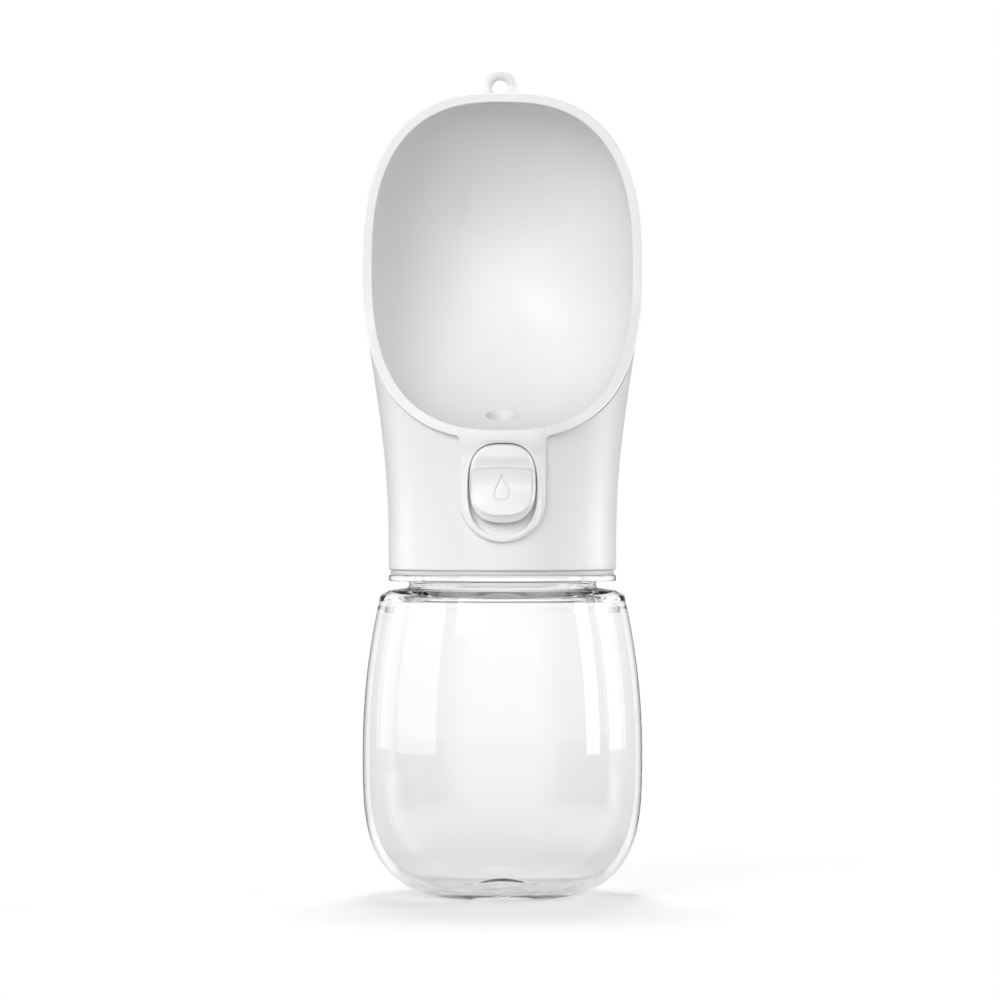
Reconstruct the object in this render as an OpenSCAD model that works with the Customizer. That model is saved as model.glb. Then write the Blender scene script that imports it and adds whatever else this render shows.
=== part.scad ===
// Travel water bottle for dogs: a clear bottle below, and above it a scoop to drink from.
// Pressing the button opens a valve on the bottle's axis, and water runs into the tilted scoop.
// The origin is the middle of the bottle's base, +Z is up, and the scoop and button face -Y.

/* [Tank] */
// Largest radius of the barrel
tank_r = 40.5; // [36:0.5:45]
// Height of the widest level
belly_z = 42; // [36:1:50]
// Height of the shoulder's lower edge
shoulder_z = 85.8; // [80:0.5:92]
// Radius at the shoulder's lower edge
shoulder_r = 35.6; // [34.8:0.2:37]
// Wall of the barrel
tank_wall = 1.9; // [1.2:0.1:2.6]
// Thickness of the base
base_wall = 2.3; // [1.6:0.1:3]
// Radius of the push-up in the base
push_up_r = 11.2; // [8:0.2:14]
// Height of the push-up
push_up_h = 2; // [1:0.1:2.2]
// Wall of the neck in the groove under the flange
groove_wall = 3.5; // [3:0.1:4.4]
// Height of the groove
groove_h = 2; // [1.5:0.1:3]
// How far the neck flange stays inside the head's skirt
flange_inset = 0.1; // [0.1:0.1:1]
// Thickness of the neck flange
flange_h = 1.7; // [1.2:0.1:2.4]
// Radius of the threaded neck, without the thread
neck_r = 26; // [25:0.1:26.3]
// Height of the neck above the flange
neck_h = 9.9; // [8:0.1:11]
// Wall of the neck
neck_wall = 2.4; // [1.8:0.1:3]

/* [Neck gasket] */
// How far the gasket stays inside the flange
gasket_inset = 0.5; // [0.3:0.1:1.5]
// Thickness of the gasket
gasket_h = 1.5; // [1:0.1:2]

/* [Head] */
// Wall of the threaded collar inside the skirt
collar_wall = 3.2; // [2.8:0.1:4]
// Wall of the skirt
skirt_wall = 2.2; // [1.6:0.1:2.4]
// Height of the rim's lowest point above the head's seat
rim_low = 37.3; // [36:0.1:39]
// Height of the scoop's outline
scoop_h = 100.9; // [96:0.5:106]
// Half width of the scoop's outline
scoop_r = 40.5; // [38:0.1:40.5]
// Width of the rim band
rim_w = 2.75; // [2:0.05:3.4]
// How far the body reaches behind the rim
scoop_back = 38; // [36:0.5:40]
// Wall behind the deepest point of the scoop
back_wall = 3.2; // [2:0.1:5]
// How far the rim band stands proud of the body
rim_proud = 1.2; // [0.8:0.1:2]
// Depth of the step that the rim band seats on
rim_seat = 1; // [0.6:0.1:1.6]
// Radius of the water outlet in the scoop
outlet_r = 4.9; // [4:0.1:5.4]

/* [Carrying eye] */
// Outer radius of the eye
eye_r = 5.15; // [4.6:0.05:6]
// Half width of the hole
eye_hole_r = 2.2; // [1.8:0.05:2.6]
// Height of the eye above the rim
eye_h = 6.9; // [6.2:0.1:8]
// Sideways place of the eye
eye_x = -0.7; // [-2:0.1:2]

/* [Button] */
// Width of the button
button_w = 18.8; // [17:0.1:20]
// Height of the button
button_h = 22.3; // [20:0.1:24]
// Corner radius of the button
button_corner = 8.2; // [5:0.1:8.4]
// Height of the button's centre above the head's seat
button_rise = 24.9; // [24:0.1:26]
// Gap round the button
button_gap = 0.35; // [0.2:0.05:0.5]
// Travel of the button when pressed
press_travel = 3; // [2:0.1:3]
// Travel of the button when slid down to lock
lock_travel = 3.1; // [2:0.1:3.2]
// Width of the tongue round the button
tongue_w = 24.5; // [23.6:0.1:26]
// Radius of the button's stem
stem_r = 4; // [3.4:0.1:4.4]

/* [Valve] */
// Radius of the water hole in the partition
seat_hole_r = 4.6; // [4.2:0.1:5]
// Bore radius of the chimney
chimney_r = 5.5; // [5.2:0.1:6]
// Wall of the chimney
chimney_wall = 2; // [1.4:0.1:2.4]
// Radius of the valve stem
valve_stem_r = 2; // [1.6:0.1:2.2]
// Radius of the valve disc
disc_r = 8.4; // [7.6:0.1:10]
// Thickness of the valve disc
disc_h = 2.5; // [1.8:0.1:3]
// Radius of the push rod
rod_r = 2.5; // [2:0.1:2.6]

/* [Fits] */
// Radial clearance of a sliding round piece
running = 0.05; // [0.02:0.01:0.09]
// Clearance between pieces that don't touch
free = 0.3; // [0.2:0.05:0.4]

/* [Hidden] */
$fn = 96;
around = 64;                // facets round the head's moulded surfaces
outline_n = 2.6;            // exponent of the scoop's rounded outline
eps = 0.01;                 // overlap of solids that are fused
beyond = 60;                // how far cutters run out past the solids
skin = 1;                   // how far cutters run past a flat face

// Heights, stacked from the tank's neck upwards
groove_z = 89.2;
flange_z = groove_z + groove_h;
gasket_z = flange_z + flange_h;
seat_z = gasket_z + gasket_h;
neck_top = gasket_z + neck_h;
seal_h = 1.5;
plate_z = neck_top + seal_h;
plate_h = 2.5;
plate_top = plate_z + plate_h;
button_z = seat_z + button_rise;
rim_z = seat_z + rim_low;
scoop_mid = rim_z + scoop_h / 2;
scoop_top = rim_z + scoop_h;
rod_z = button_z;

// Radii, from the tank's neck outwards: neck, threads, collar, gap, skirt
thread_room = 1.4;
collar_gap = 0.2;
collar_bore = neck_r + thread_room;
collar_out = collar_bore + collar_wall;
skirt_in = collar_out + collar_gap;
skirt_r = skirt_in + skirt_wall;
flange_r = skirt_r - flange_inset;
gasket_r = flange_r - gasket_inset;
bore_r = neck_r - neck_wall;
groove_r = bore_r + groove_wall;

// Depths at the button, from the front of the skirt inwards
pocket_sink = 2;
floor_t = 1.6;
slider_t = 1.6;
guide_t = 1.5;
rod_head_t = 1.5;
pin_l = 3.4;
pin_cup = 0.8;
detent_l = 2.75;
rod_room = 2.9;
pocket_floor = -skirt_r + pocket_sink;
slider_y = pocket_floor + floor_t + free;
guide_y = slider_y + slider_t + free;
guide_back = guide_y + guide_t;
pin_tip = slider_y + slider_t + running;
pin_boss_y = pin_tip + pin_l + detent_l + pin_cup;
rod_head_y = guide_back + 1.3;
boss_y = rod_head_y + rod_head_t + press_travel + rod_room;

// Depths of the button, from the pocket's floor outwards
spring_floor = slider_y + slider_t - 1.1;
button_back = pocket_floor - press_travel - 0.2;
button_inside = button_back - 0.7;
button_face = button_back - 3.1;

// ---- shared curves ----

// Height of a unit superellipse of exponent n over u
function arch(u, n) = pow(max(0, 1 - pow(abs(u), n)), 1 / n);

// Cosine and sine pulled out to a superellipse of exponent n
function cs(a, n) = sign(cos(a)) * pow(abs(cos(a)), 2 / n);
function sn(a, n) = sign(sin(a)) * pow(abs(sin(a)), 2 / n);

function smooth(u) = u * u * (3 - 2 * u);
function clamp01(u) = min(1, max(0, u));

// A tube of rings closed at both ends: rings is a list of equally long lists of points
module loft(rings) {
    n = len(rings[0]);
    m = len(rings);
    side = [for (k = [0 : m - 2], j = [0 : n - 1])
        let (a = k * n + j, b = k * n + (j + 1) % n)
        each [[b, a, b + n], [a, a + n, b + n]]];
    caps = [[for (j = [0 : n - 1]) j], [for (j = [n - 1 : -1 : 0]) (m - 1) * n + j]];
    polyhedron(points = [for (r = rings) each r], faces = concat(side, caps), convexity = 6);
}

// A closed ring of stations: each station is the same loop of points
module ring_loft(stations) {
    n = len(stations[0]);
    m = len(stations);
    faces = [for (k = [0 : m - 1], j = [0 : n - 1])
        let (low = k * n, high = ((k + 1) % m) * n, next = (j + 1) % n,
            a = low + j, b = low + next, c = high + next, d = high + j)
        each [[a, b, c], [a, c, d]]];
    polyhedron(points = [for (s = stations) each s], faces = faces, convexity = 6);
}

// A round bar along the depth of the head, from y0 back to y1
module bar_y(r, y0, y1, z, x = 0) {
    translate([x, y0, z]) rotate([-90, 0, 0]) cylinder(r = r, h = y1 - y0);
}

// A block given by its corners
module block(lo, hi) {
    translate(lo) cube(hi - lo);
}

// A flat ring that lies on the level of the origin
module washer(r, hole_r, h) {
    difference() {
        cylinder(r = r, h = h);
        translate([0, 0, -skin]) cylinder(r = hole_r, h = h + 2 * skin);
    }
}

// A slab with rounded corners that faces the front, from y0 back to y1
module rounded_slab(w, h, r, y0, y1, z) {
    translate([0, y0, z]) rotate([-90, 0, 0]) linear_extrude(height = y1 - y0) rounded_outline(w, h, r);
}

// A flat rounded rectangle about its own centre, made of plain circles and squares
module rounded_outline(w, h, r) {
    square([w, h - 2 * r], center = true);
    square([w - 2 * r, h], center = true);
    for (sx = [-1, 1], sy = [-1, 1])
        translate([sx * (w / 2 - r), sy * (h / 2 - r)]) circle(r = r);
}

// A coil spring along +Z: wire of radius wire_r wound at radius coil_r
module coil(coil_r, wire_r, length, turns) {
    steps = round(turns * 12);
    rise = length - 2 * wire_r;
    loft([for (k = [0 : steps])
        let (a = 360 * turns * k / steps, z = wire_r + rise * k / steps)
        [for (j = [0 : 5]) let (b = -60 * j, r = coil_r + wire_r * cos(b))
            [r * cos(a), r * sin(a), z + wire_r * sin(b)]]]);
}

// ---- tank ----

// Radius of the barrel below the belly: a squared arch that is cut off by the flat base
base_arch_n = 3.3;
base_arch_over = 1.5;
function lower_r(r, z, foot) = r * arch((belly_z - z) / (belly_z + base_arch_over - foot), base_arch_n);

// Radius of the barrel above the belly: a flat arc that falls to the shoulder
function upper_r(z) = let (h = shoulder_z - belly_z, s = tank_r - shoulder_r, big = (h * h + s * s) / (2 * s))
    tank_r - big + sqrt(big * big - (z - belly_z) * (z - belly_z));

push_up_steps = 6;
function push_up(r) = push_up_h * (1 + cos(180 * min(1, r / push_up_r))) / 2;

// The shoulder is rounded by two corners, which step in and lie at these parts of its rise
shoulder_in = 0.4;
shoulder_out = 0.2;
low_part = 0.3;
high_part = 0.75;
barrel_steps = 18;
module tank_outline(wall, floor_z) {
    low = [for (k = [0 : barrel_steps])
        let (z = floor_z + (belly_z - floor_z) * (1 - cos(90 * k / barrel_steps)))
        [lower_r(tank_r - wall, z, floor_z), z]];
    high = [for (k = [1 : barrel_steps]) let (z = belly_z + (shoulder_z - belly_z) * k / barrel_steps)
        [upper_r(z) - wall, z]];
    foot = [for (k = [0 : push_up_steps]) let (r = push_up_r * k / push_up_steps) [r, floor_z + push_up(r)]];
    rise = groove_z - shoulder_z;
    high_r = flange_r - shoulder_out;
    high_z = shoulder_z + high_part * rise;
    top = wall == 0
        ? [[shoulder_r - shoulder_in, shoulder_z + low_part * rise], [high_r, high_z],
            [groove_r, groove_z], [groove_r, flange_z], [flange_r, flange_z], [flange_r, gasket_z],
            [neck_r, gasket_z], [neck_r, neck_top], [0, neck_top]]
        : [[high_r - wall, high_z - wall], [bore_r + skin, groove_z - wall],
            [bore_r, groove_z], [bore_r, neck_top + skin], [0, neck_top + skin]];
    polygon(concat(foot, low, high, top));
}

module tank() {
    color([0.86, 0.89, 0.92, 0.4])
    rotate_extrude() difference() {
        tank_outline(0, 0);
        tank_outline(tank_wall, base_wall);
    }
}

// ---- neck gasket ----
module neck_gasket() {
    color([0.8, 0.8, 0.82])
    translate([0, 0, gasket_z]) washer(gasket_r, neck_r + free + 1, gasket_h);
}

// ---- head shell ----

// Half width of the body at height z
flare_from = seat_z + 5.6;
function body_half(z) = z >= scoop_mid
    ? scoop_r * arch((z - scoop_mid) / (scoop_h / 2), outline_n)
    : skirt_r + (scoop_r - skirt_r) * smooth(pow(clamp01((z - flare_from) / (scoop_mid - flare_from)), 1.25));

// Reach of the body behind the axis at height z
back_from = 170;
back_n = 2.4;
function body_back(z) = z <= back_from
    ? skirt_r + (scoop_back - skirt_r) * smooth(clamp01((z - flare_from) / (back_from - flare_from)))
    : scoop_back * arch((z - back_from) / (scoop_top - back_from), back_n);

// Side view of the scoop's edge: how far in front of the axis it lies at height z
edge_lead = 1.9;
edge_front = skirt_r + edge_lead;
edge_end = 46.3;
edge_n = 2.15;
function edge_y(z) = -edge_front * pow(clamp01(1 - (z - rim_z) / edge_end), edge_n);

// One level of the body: round in front, a little squarer behind
square_from = 120;
square_over = 60;
function body_ring(z) = let (w = body_half(z), b = body_back(z),
        n = 2 + 0.3 * smooth(clamp01((z - square_from) / square_over)))
    [for (j = [0 : around - 1]) let (a = 360 * j / around)
        sin(a) > 0 ? [w * cs(a, n), b * sn(a, n), z] : [w * cos(a), min(w, b) * sin(a), z]];

skirt_steps = 14;
dome_steps = 11;
body_levels = concat(
    [for (k = [0 : skirt_steps]) seat_z + (scoop_mid - seat_z) * k / skirt_steps],
    [for (k = [1 : dome_steps]) scoop_mid + (scoop_h / 2) * sn(86.5 * k / dome_steps, outline_n)]);

// Rim outline in the front view at angle a, inset by d
function rim_x(a, d) = (scoop_r - d) * cs(a, outline_n);
function rim_height(a, d) = scoop_mid + (scoop_h / 2 - d) * sn(a, outline_n);

// Hollow of the scoop: straight out at the front, a deep dish behind the rim
dish_n = 2.1;
dish_steps = 9;
dish_lead = 0.5;
dish_back = scoop_back - back_wall;
function dish_ring(b, out) = [for (j = [0 : around - 1])
    let (a = -360 * j / around, keep = cs(b, dish_n), x = rim_x(a, rim_w), z = rim_height(a, rim_w),
        y = edge_y(z) + rim_seat + dish_lead)
    [x * keep, out ? -beyond : y + (dish_back - y) * sn(b, dish_n), scoop_mid + (z - scoop_mid) * keep]];

module scoop_hollow() {
    loft(concat([dish_ring(0, true)], [for (k = [0 : dish_steps]) dish_ring(88 * k / dish_steps, false)]));
}

// All that lies in front of the scoop's edge
edge_steps = 24;
module scoop_front() {
    outline = concat([[-beyond, rim_z], [-beyond, scoop_top + 20], [rim_seat + skin, scoop_top + 20]],
        [for (k = [edge_steps : -1 : 0])
            let (z = rim_z + edge_end * k / edge_steps) [edge_y(z) + rim_seat, z]]);
    translate([-beyond, 0, 0]) rotate([90, 0, 90]) linear_extrude(height = 2 * beyond) polygon(outline);
}

// Chamber under the scoop's floor, with a roof that rises to the back as the floor does
roof_slope = 10.2;
roof_front_z = rim_z - 0.4;
roof_high = 52;             // height of the chamber before its roof is cut
outlet_boss_z = rim_z + 4.3;
outlet_boss_r = chimney_r + chimney_wall + 0.8;
module chamber() {
    low = seat_z - skin;
    levels = [for (k = [0 : 8]) let (z = low + roof_high * k / 8) [body_half(z) - skirt_wall, z]];
    difference() {
        intersection() {
            rotate_extrude() polygon(concat([[0, low]], levels, [[0, low + roof_high]]));
            translate([0, -skirt_in, roof_front_z]) rotate([roof_slope, 0, 0])
                block([-beyond, -beyond, -2 * beyond], [beyond, 2 * beyond, 0]);
        }
        translate([0, 0, outlet_boss_z]) cylinder(r = outlet_boss_r, h = beyond);
    }
    translate([0, 0, outlet_boss_z - 5]) cylinder(r = outlet_boss_r, h = 5);
}

// Outline of the housing behind the tongue, and the window that it passes through
pocket_wall = 1.5;
pocket_w = button_w + 2 * button_gap;
pocket_low = button_z - button_h / 2 - lock_travel - button_gap;
housing_w = pocket_w + 2 * pocket_wall;
housing_low = pocket_low - pocket_wall;
housing_corner = button_corner + button_gap + pocket_wall;
window_top = rim_z + 0.6;
module housing_outline(grow) {
    arch_outline(housing_w + 2 * grow, housing_low - grow, window_top + grow, housing_corner + grow);
}

// A plate outline with a square top and round lower corners, standing on height low
module arch_outline(w, low, high, corner) {
    translate([-w / 2, low + corner]) square([w, high - low - corner]);
    translate([-w / 2 + corner, low]) square([w - 2 * corner, corner]);
    for (s = [-1, 1]) translate([s * (w / 2 - corner), low + corner]) circle(r = corner);
}

window_reach = 3;
window_gap = 0.1;
module window() {
    translate([0, window_reach - skirt_in, 0]) rotate([90, 0, 0]) linear_extrude(height = beyond)
        housing_outline(window_gap);
}

// A round bar bent to an arch, with flared feet on the rim
eye_foot = 1.3;
eye_root = 1.2;
module carrying_eye() {
    bar = (eye_r - eye_hole_r) / 2;
    bend = eye_r - bar;
    arch_z = scoop_top + eye_h - eye_r;
    foot_z = scoop_top - eye_root;
    translate([eye_x, rim_seat + 0.1 + bar + eye_foot, 0]) {
        translate([0, 0, arch_z]) rotate([90, 0, 0]) rotate_extrude(angle = 180)
            translate([bend, 0]) circle(r = bar);
        for (s = [-1, 1]) translate([s * bend, 0, foot_z]) {
            cylinder(r = bar, h = arch_z - foot_z);
            cylinder(r1 = bar + eye_foot, r2 = bar, h = eye_root + eye_foot);
        }
    }
}

module head_shell() {
    color([0.96, 0.96, 0.96]) {
        difference() {
            loft([for (z = body_levels) body_ring(z)]);
            scoop_front();
            scoop_hollow();
            chamber();
            window();
            translate([0, 0, button_z]) cylinder(r = outlet_r, h = beyond);
        }
        carrying_eye();
    }
}

// ---- front frame: rim band, tongue and button pocket ----

// One station of the rim band: the front is flat across, the back follows the scoop's edge
function rim_station(a) = let (xo = rim_x(a, 0), zo = rim_height(a, 0), xi = rim_x(a, rim_w),
        zi = rim_height(a, rim_w), front = edge_y(zo) - rim_proud, soft = 0.5,
        xm = rim_x(a, soft), zm = rim_height(a, soft))
    [[xo, front + soft, zo], [xm, front, zm], [xi, front, zi],
        [xi, edge_y(zi) + rim_seat - seat_gap, zi], [xo, edge_y(zo) + rim_seat - seat_gap, zo]];

seat_gap = 0.12;
tongue_low = 102.5;
tongue_proud = 1.8;
tongue_gap = 0.1;
tongue_lap = 1.4;           // how far the tongue runs up under the rim band
module tongue_body() {
    cone_low = tongue_low - 2;
    cone_high = rim_z + 2;
    low = cone_low - skin;
    high = cone_high + skin;
    difference() {
        intersection() {
            translate([0, 0, cone_low]) cylinder(r1 = skirt_r + tongue_proud, r2 = edge_front + rim_proud,
                h = cone_high - cone_low);
            rotate([90, 0, 0]) linear_extrude(height = beyond) tongue_outline();
        }
        rotate_extrude() polygon(concat([[0, low]],
            [for (k = [0 : 8]) let (z = low + (high - low) * k / 8) [body_half(z) + tongue_gap, z]],
            [[0, high]]));
    }
}

// Front view of the tongue: straight sides that end in a full half circle
module tongue_outline() {
    r = tongue_w / 2;
    translate([0, tongue_low + r]) circle(r = r);
    translate([-r, tongue_low + r]) square([tongue_w, rim_z + tongue_lap - tongue_low - r]);
}

// Pocket that the button sinks into, with its slotted floor
pocket_h = button_h + lock_travel + 2 * button_gap;
pocket_z = button_z - lock_travel / 2;
pocket_back = pocket_floor + floor_t;
collar_r = 6.2;
collar_slot_w = 2 * (collar_r + free);
module pocket_body() {
    intersection() {
        translate([0, pocket_back, 0]) rotate([90, 0, 0]) linear_extrude(height = beyond) housing_outline(0);
        cylinder(r = skirt_r + tongue_proud / 3, h = scoop_top);
    }
}

slider_half = 8.2;
rail_in = slider_half + 0.15;
rail_low = housing_low + housing_corner;
rail_top = window_top - 0.6;
screw_x = 4.6;
screw_r = 0.9;
screw_boss_r = 1.9;
screw_bite = 0.6;
screw_z = window_top - 3.6;
module front_frame() {
    color([0.9, 0.89, 0.9])
    difference() {
        union() {
            ring_loft([for (j = [0 : around - 1]) rim_station(-90 + 360 * j / around)]);
            tongue_body();
            pocket_body();
            for (s = [0, 1]) mirror([s, 0, 0])
                block([rail_in, pocket_back - eps, rail_low], [housing_w / 2, guide_y, rail_top]);
            for (s = [-1, 1]) bar_y(screw_boss_r, pocket_back - eps, guide_y, screw_z, s * screw_x);
        }
        rounded_slab(pocket_w, pocket_h, button_corner + button_gap, -beyond, pocket_floor, pocket_z);
        rounded_slab(collar_slot_w, collar_slot_w + lock_travel, collar_r, -beyond, 0, pocket_z);
        for (s = [-1, 1]) bar_y(screw_r, pocket_back - screw_bite, 0, screw_z, s * screw_x);
    }
}

// ---- valve body: collar, partition, chimney and rod boss ----
seal_room = 2;
chimney_top = outlet_boss_z - seal_room;
boss_r = 5.6;
gland_r = 4.05;
gland_depth = 2.6;
seat_lip = 1;
lip_out = 0.8;              // from the lip to the disc's edge
lip_in = 1.2;               // from the water hole to the lip
module valve_body() {
    color([0.88, 0.88, 0.9])
    difference() {
        union() {
            translate([0, 0, seat_z]) cylinder(r = collar_out, h = plate_top - seat_z);
            translate([0, 0, plate_z]) cylinder(r = chimney_r + chimney_wall, h = chimney_top - plate_z);
            bar_y(boss_r, boss_y, -skin, rod_z);
        }
        translate([0, 0, seat_z - skin]) cylinder(r = collar_bore, h = plate_z - seat_z + skin);
        translate([0, 0, seat_z]) cylinder(r = seat_hole_r, h = beyond);
        translate([0, 0, plate_top]) cylinder(r = chimney_r, h = beyond);
        bar_y(rod_r + running, -beyond, 0, rod_z);
        bar_y(gland_r, -beyond, boss_y + gland_depth, rod_z);
        block([-housing_w / 2 - free, -beyond, housing_low - free],
            [housing_w / 2 + free, pocket_back + free, plate_top + skin]);
    }
    color([0.88, 0.88, 0.9])
    translate([0, 0, plate_z - seat_lip]) washer(disc_r - lip_out, seat_hole_r + lip_in, seat_lip + eps);
}

module mouth_seal() {
    color([0.75, 0.76, 0.78])
    translate([0, 0, neck_top]) washer(neck_r + 1, bore_r + 0.2, seal_h);
}

// Gasket between the chimney and the boss under the scoop's outlet
module outlet_seal() {
    color([0.75, 0.76, 0.78])
    translate([0, 0, chimney_top]) washer(chimney_r + chimney_wall, chimney_r, seal_room);
}

// ---- valve ----
guide_h = 2;
guide_holes = 8;
guide_hole_r = 1.1;
module stem_guide() {
    guide_r = chimney_r - 0.1;
    color([0.88, 0.88, 0.9])
    translate([0, 0, plate_top]) difference() {
        cylinder(r = guide_r, h = guide_h);
        translate([0, 0, -skin]) cylinder(r = valve_stem_r + running, h = guide_h + 2 * skin);
        for (k = [0 : guide_holes - 1]) rotate(360 * k / guide_holes)
            translate([(guide_r + valve_stem_r + running) / 2, 0, -skin])
                cylinder(r = guide_hole_r, h = guide_h + 2 * skin);
    }
}

cam_slope_z = rod_z + 1;    // height of the sloping contact face on the axis
cam_low = rod_z - 3;
cam_h = 9;
cam_r = 3.4;
clip_h = 0.8;
spring_low = plate_top + guide_h;
spring_high = cam_low - clip_h;
module valve_spring() {
    color([0.8, 0.8, 0.82])
    translate([0, 0, spring_low]) coil(3.1, 0.3, spring_high - spring_low, 4.5);
}

module stem_clip() {
    color([0.8, 0.8, 0.82])
    translate([0, 0, spring_high]) washer(4.2, valve_stem_r + running, clip_h);
}

disc_top = plate_z - seat_lip;
retainer_h = 1.5;
stem_low = disc_top - disc_h - retainer_h;
stem_flange_r = valve_stem_r + 1.2;
retainer_screw_r = 0.9;
retainer_screw_l = 5;
module valve_stem() {
    color([0.9, 0.9, 0.9])
    difference() {
        union() {
            translate([0, 0, stem_low]) cylinder(r = valve_stem_r, h = cam_low - stem_low + eps);
            translate([0, 0, disc_top]) cylinder(r = stem_flange_r, h = 1);
            translate([0, 0, cam_low]) cylinder(r = cam_r, h = cam_h);
        }
        translate([0, 0, cam_slope_z]) rotate([45, 0, 0])
            block([-beyond, -beyond, 0], [beyond, beyond, beyond]);
        translate([0, 0, stem_low - skin]) cylinder(r = retainer_screw_r, h = retainer_screw_l + 2 * skin);
    }
}

// Clearance of the disc and its retainer on the stem
snug = 0.02;

module valve_disc() {
    color([0.75, 0.76, 0.78])
    translate([0, 0, disc_top - disc_h]) washer(disc_r, valve_stem_r + snug, disc_h);
}

module disc_retainer() {
    color([0.9, 0.9, 0.9])
    translate([0, 0, stem_low]) washer(5.5, valve_stem_r + snug, retainer_h);
}

screw_head_r = 3;
screw_head_h = 1.3;
module disc_screw() {
    color([0.7, 0.7, 0.72])
    translate([0, 0, stem_low - screw_head_h]) {
        cylinder(r = screw_head_r, h = screw_head_h);
        cylinder(r = retainer_screw_r - snug, h = screw_head_h + retainer_screw_l);
    }
}

// ---- push rod ----
rod_head_w = 9;
rod_head_h = 12;
rod_head_corner = 3;
rod_head_drop = 1.4;        // the plate reaches lower, because the button slides down on it
rod_back = cam_r + 2.6;
cam_gap = 0.1;
module push_rod() {
    color([0.9, 0.9, 0.9])
    difference() {
        union() {
            bar_y(rod_r, rod_head_y, rod_back, rod_z);
            rounded_slab(rod_head_w, rod_head_h, rod_head_corner, rod_head_y, rod_head_y + rod_head_t,
                rod_z - rod_head_drop);
        }
        translate([0, 0, cam_slope_z + cam_gap]) rotate([45, 0, 0])
            block([-beyond, -rod_head_h, -beyond], [beyond, beyond, 0]);
    }
}

seal_wire = 0.75;
retainer_t = 0.9;
module rod_seal() {
    color([0.3, 0.3, 0.32])
    translate([0, boss_y + gland_depth - seal_wire - running, rod_z]) rotate([90, 0, 0]) rotate_extrude()
        translate([rod_r + snug + seal_wire, 0]) circle(r = seal_wire, $fn = 32);
}

module seal_retainer() {
    color([0.9, 0.9, 0.9])
    difference() {
        bar_y(gland_r - snug, boss_y, boss_y + retainer_t, rod_z);
        bar_y(rod_r + free, -beyond, 0, rod_z);
    }
}

// ---- lock slider ----
spring_pocket_r = 5.4;
slider_half_h = 6.9;
module lock_slider() {
    color([0.7, 0.71, 0.73])
    difference() {
        union() {
            block([-slider_half, slider_y, button_z - slider_half_h],
                [slider_half, slider_y + slider_t, button_z + slider_half_h]);
            bar_y(collar_r, pocket_floor + 0.1, slider_y + eps, button_z);
        }
        bar_y(stem_r + running, -beyond, 0, button_z);
        bar_y(spring_pocket_r, -beyond, spring_floor, button_z);
    }
}

module button_spring() {
    color([0.8, 0.8, 0.82])
    translate([0, spring_floor, button_z]) rotate([90, 0, 0])
        coil(4.7, 0.3, spring_floor - button_inside, 3.5);
}

// Dished thumb face: a ridge along the top slopes to a step, and the hollow under it runs out at the bottom
dish_r = 43;
dish_depth = 1.7;
dish_z = 3;
ridge_low = 4.1;
ridge_high = 7.8;
ridge_fall = 0.8;
module button_cap() {
    color([0.97, 0.97, 0.97])
    difference() {
        union() {
            rounded_slab(button_w, button_h, button_corner, button_face, button_back, button_z);
            bar_y(stem_r, button_inside, rod_head_y - cam_gap, button_z);
        }
        difference() {
            translate([-button_w, button_face - dish_r + dish_depth, button_z + dish_z]) rotate([0, 90, 0])
                cylinder(r = dish_r, h = 2 * button_w);
            block([-beyond, -3 * beyond, button_z + ridge_low], [beyond, 0, button_z + beyond]);
        }
        translate([-button_w, 0, button_z]) rotate([90, 0, 90]) linear_extrude(height = 2 * button_w)
            polygon([[button_face - skin, ridge_low], [button_face + ridge_fall, ridge_low],
                [button_face, ridge_high], [button_face - skin, ridge_high]]);
        difference() {
            bar_y(spring_pocket_r, button_inside, 0, button_z);
            bar_y(stem_r, -beyond, 0, button_z);
        }
    }
}

// ---- slider guide ----
pin_r = 1;
pin_x = 7;
pin_boss_r = 2.2;
guide_half = housing_w / 2 - free;
guide_slot_w = 2 * stem_r + 1;
module slider_guide() {
    color([0.7, 0.71, 0.73])
    difference() {
        union() {
            block([-guide_half, guide_y, plate_top + free], [guide_half, guide_back, window_top - 1.2]);
            bar_y(pin_boss_r, guide_y + 0.5, pin_boss_y, button_z, pin_x);
        }
        rounded_slab(guide_slot_w, guide_slot_w + lock_travel, stem_r,
            guide_y - skin, guide_back + skin, pocket_z);
        for (s = [-1, 1]) bar_y(screw_r + 0.2, guide_y - skin, guide_back + skin, screw_z, s * screw_x);
        bar_y(pin_r + running, guide_y - skin, pin_boss_y - pin_cup, button_z, pin_x);
    }
}

guide_screw_r = 1.7;
guide_screw_h = 1.1;
module guide_screws() {
    color([0.7, 0.7, 0.72])
    for (s = [-1, 1]) {
        bar_y(screw_r - snug, pocket_back + free, guide_back + guide_screw_h / 2, screw_z, s * screw_x);
        bar_y(guide_screw_r, guide_back, guide_back + guide_screw_h, screw_z, s * screw_x);
    }
}

module detent_pin() {
    color([0.8, 0.8, 0.82])
    bar_y(pin_r, pin_tip, pin_tip + pin_l, button_z, pin_x);
}

module detent_spring() {
    color([0.8, 0.8, 0.82])
    translate([pin_x, pin_boss_y - pin_cup, button_z]) rotate([90, 0, 0]) coil(0.7, 0.2, detent_l, 4);
}

tank();
neck_gasket();
head_shell();
front_frame();
valve_body();
mouth_seal();
outlet_seal();
stem_guide();
valve_spring();
stem_clip();
valve_stem();
valve_disc();
disc_retainer();
disc_screw();
push_rod();
rod_seal();
seal_retainer();
lock_slider();
button_spring();
button_cap();
slider_guide();
guide_screws();
detent_pin();
detent_spring();
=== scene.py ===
import math

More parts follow.
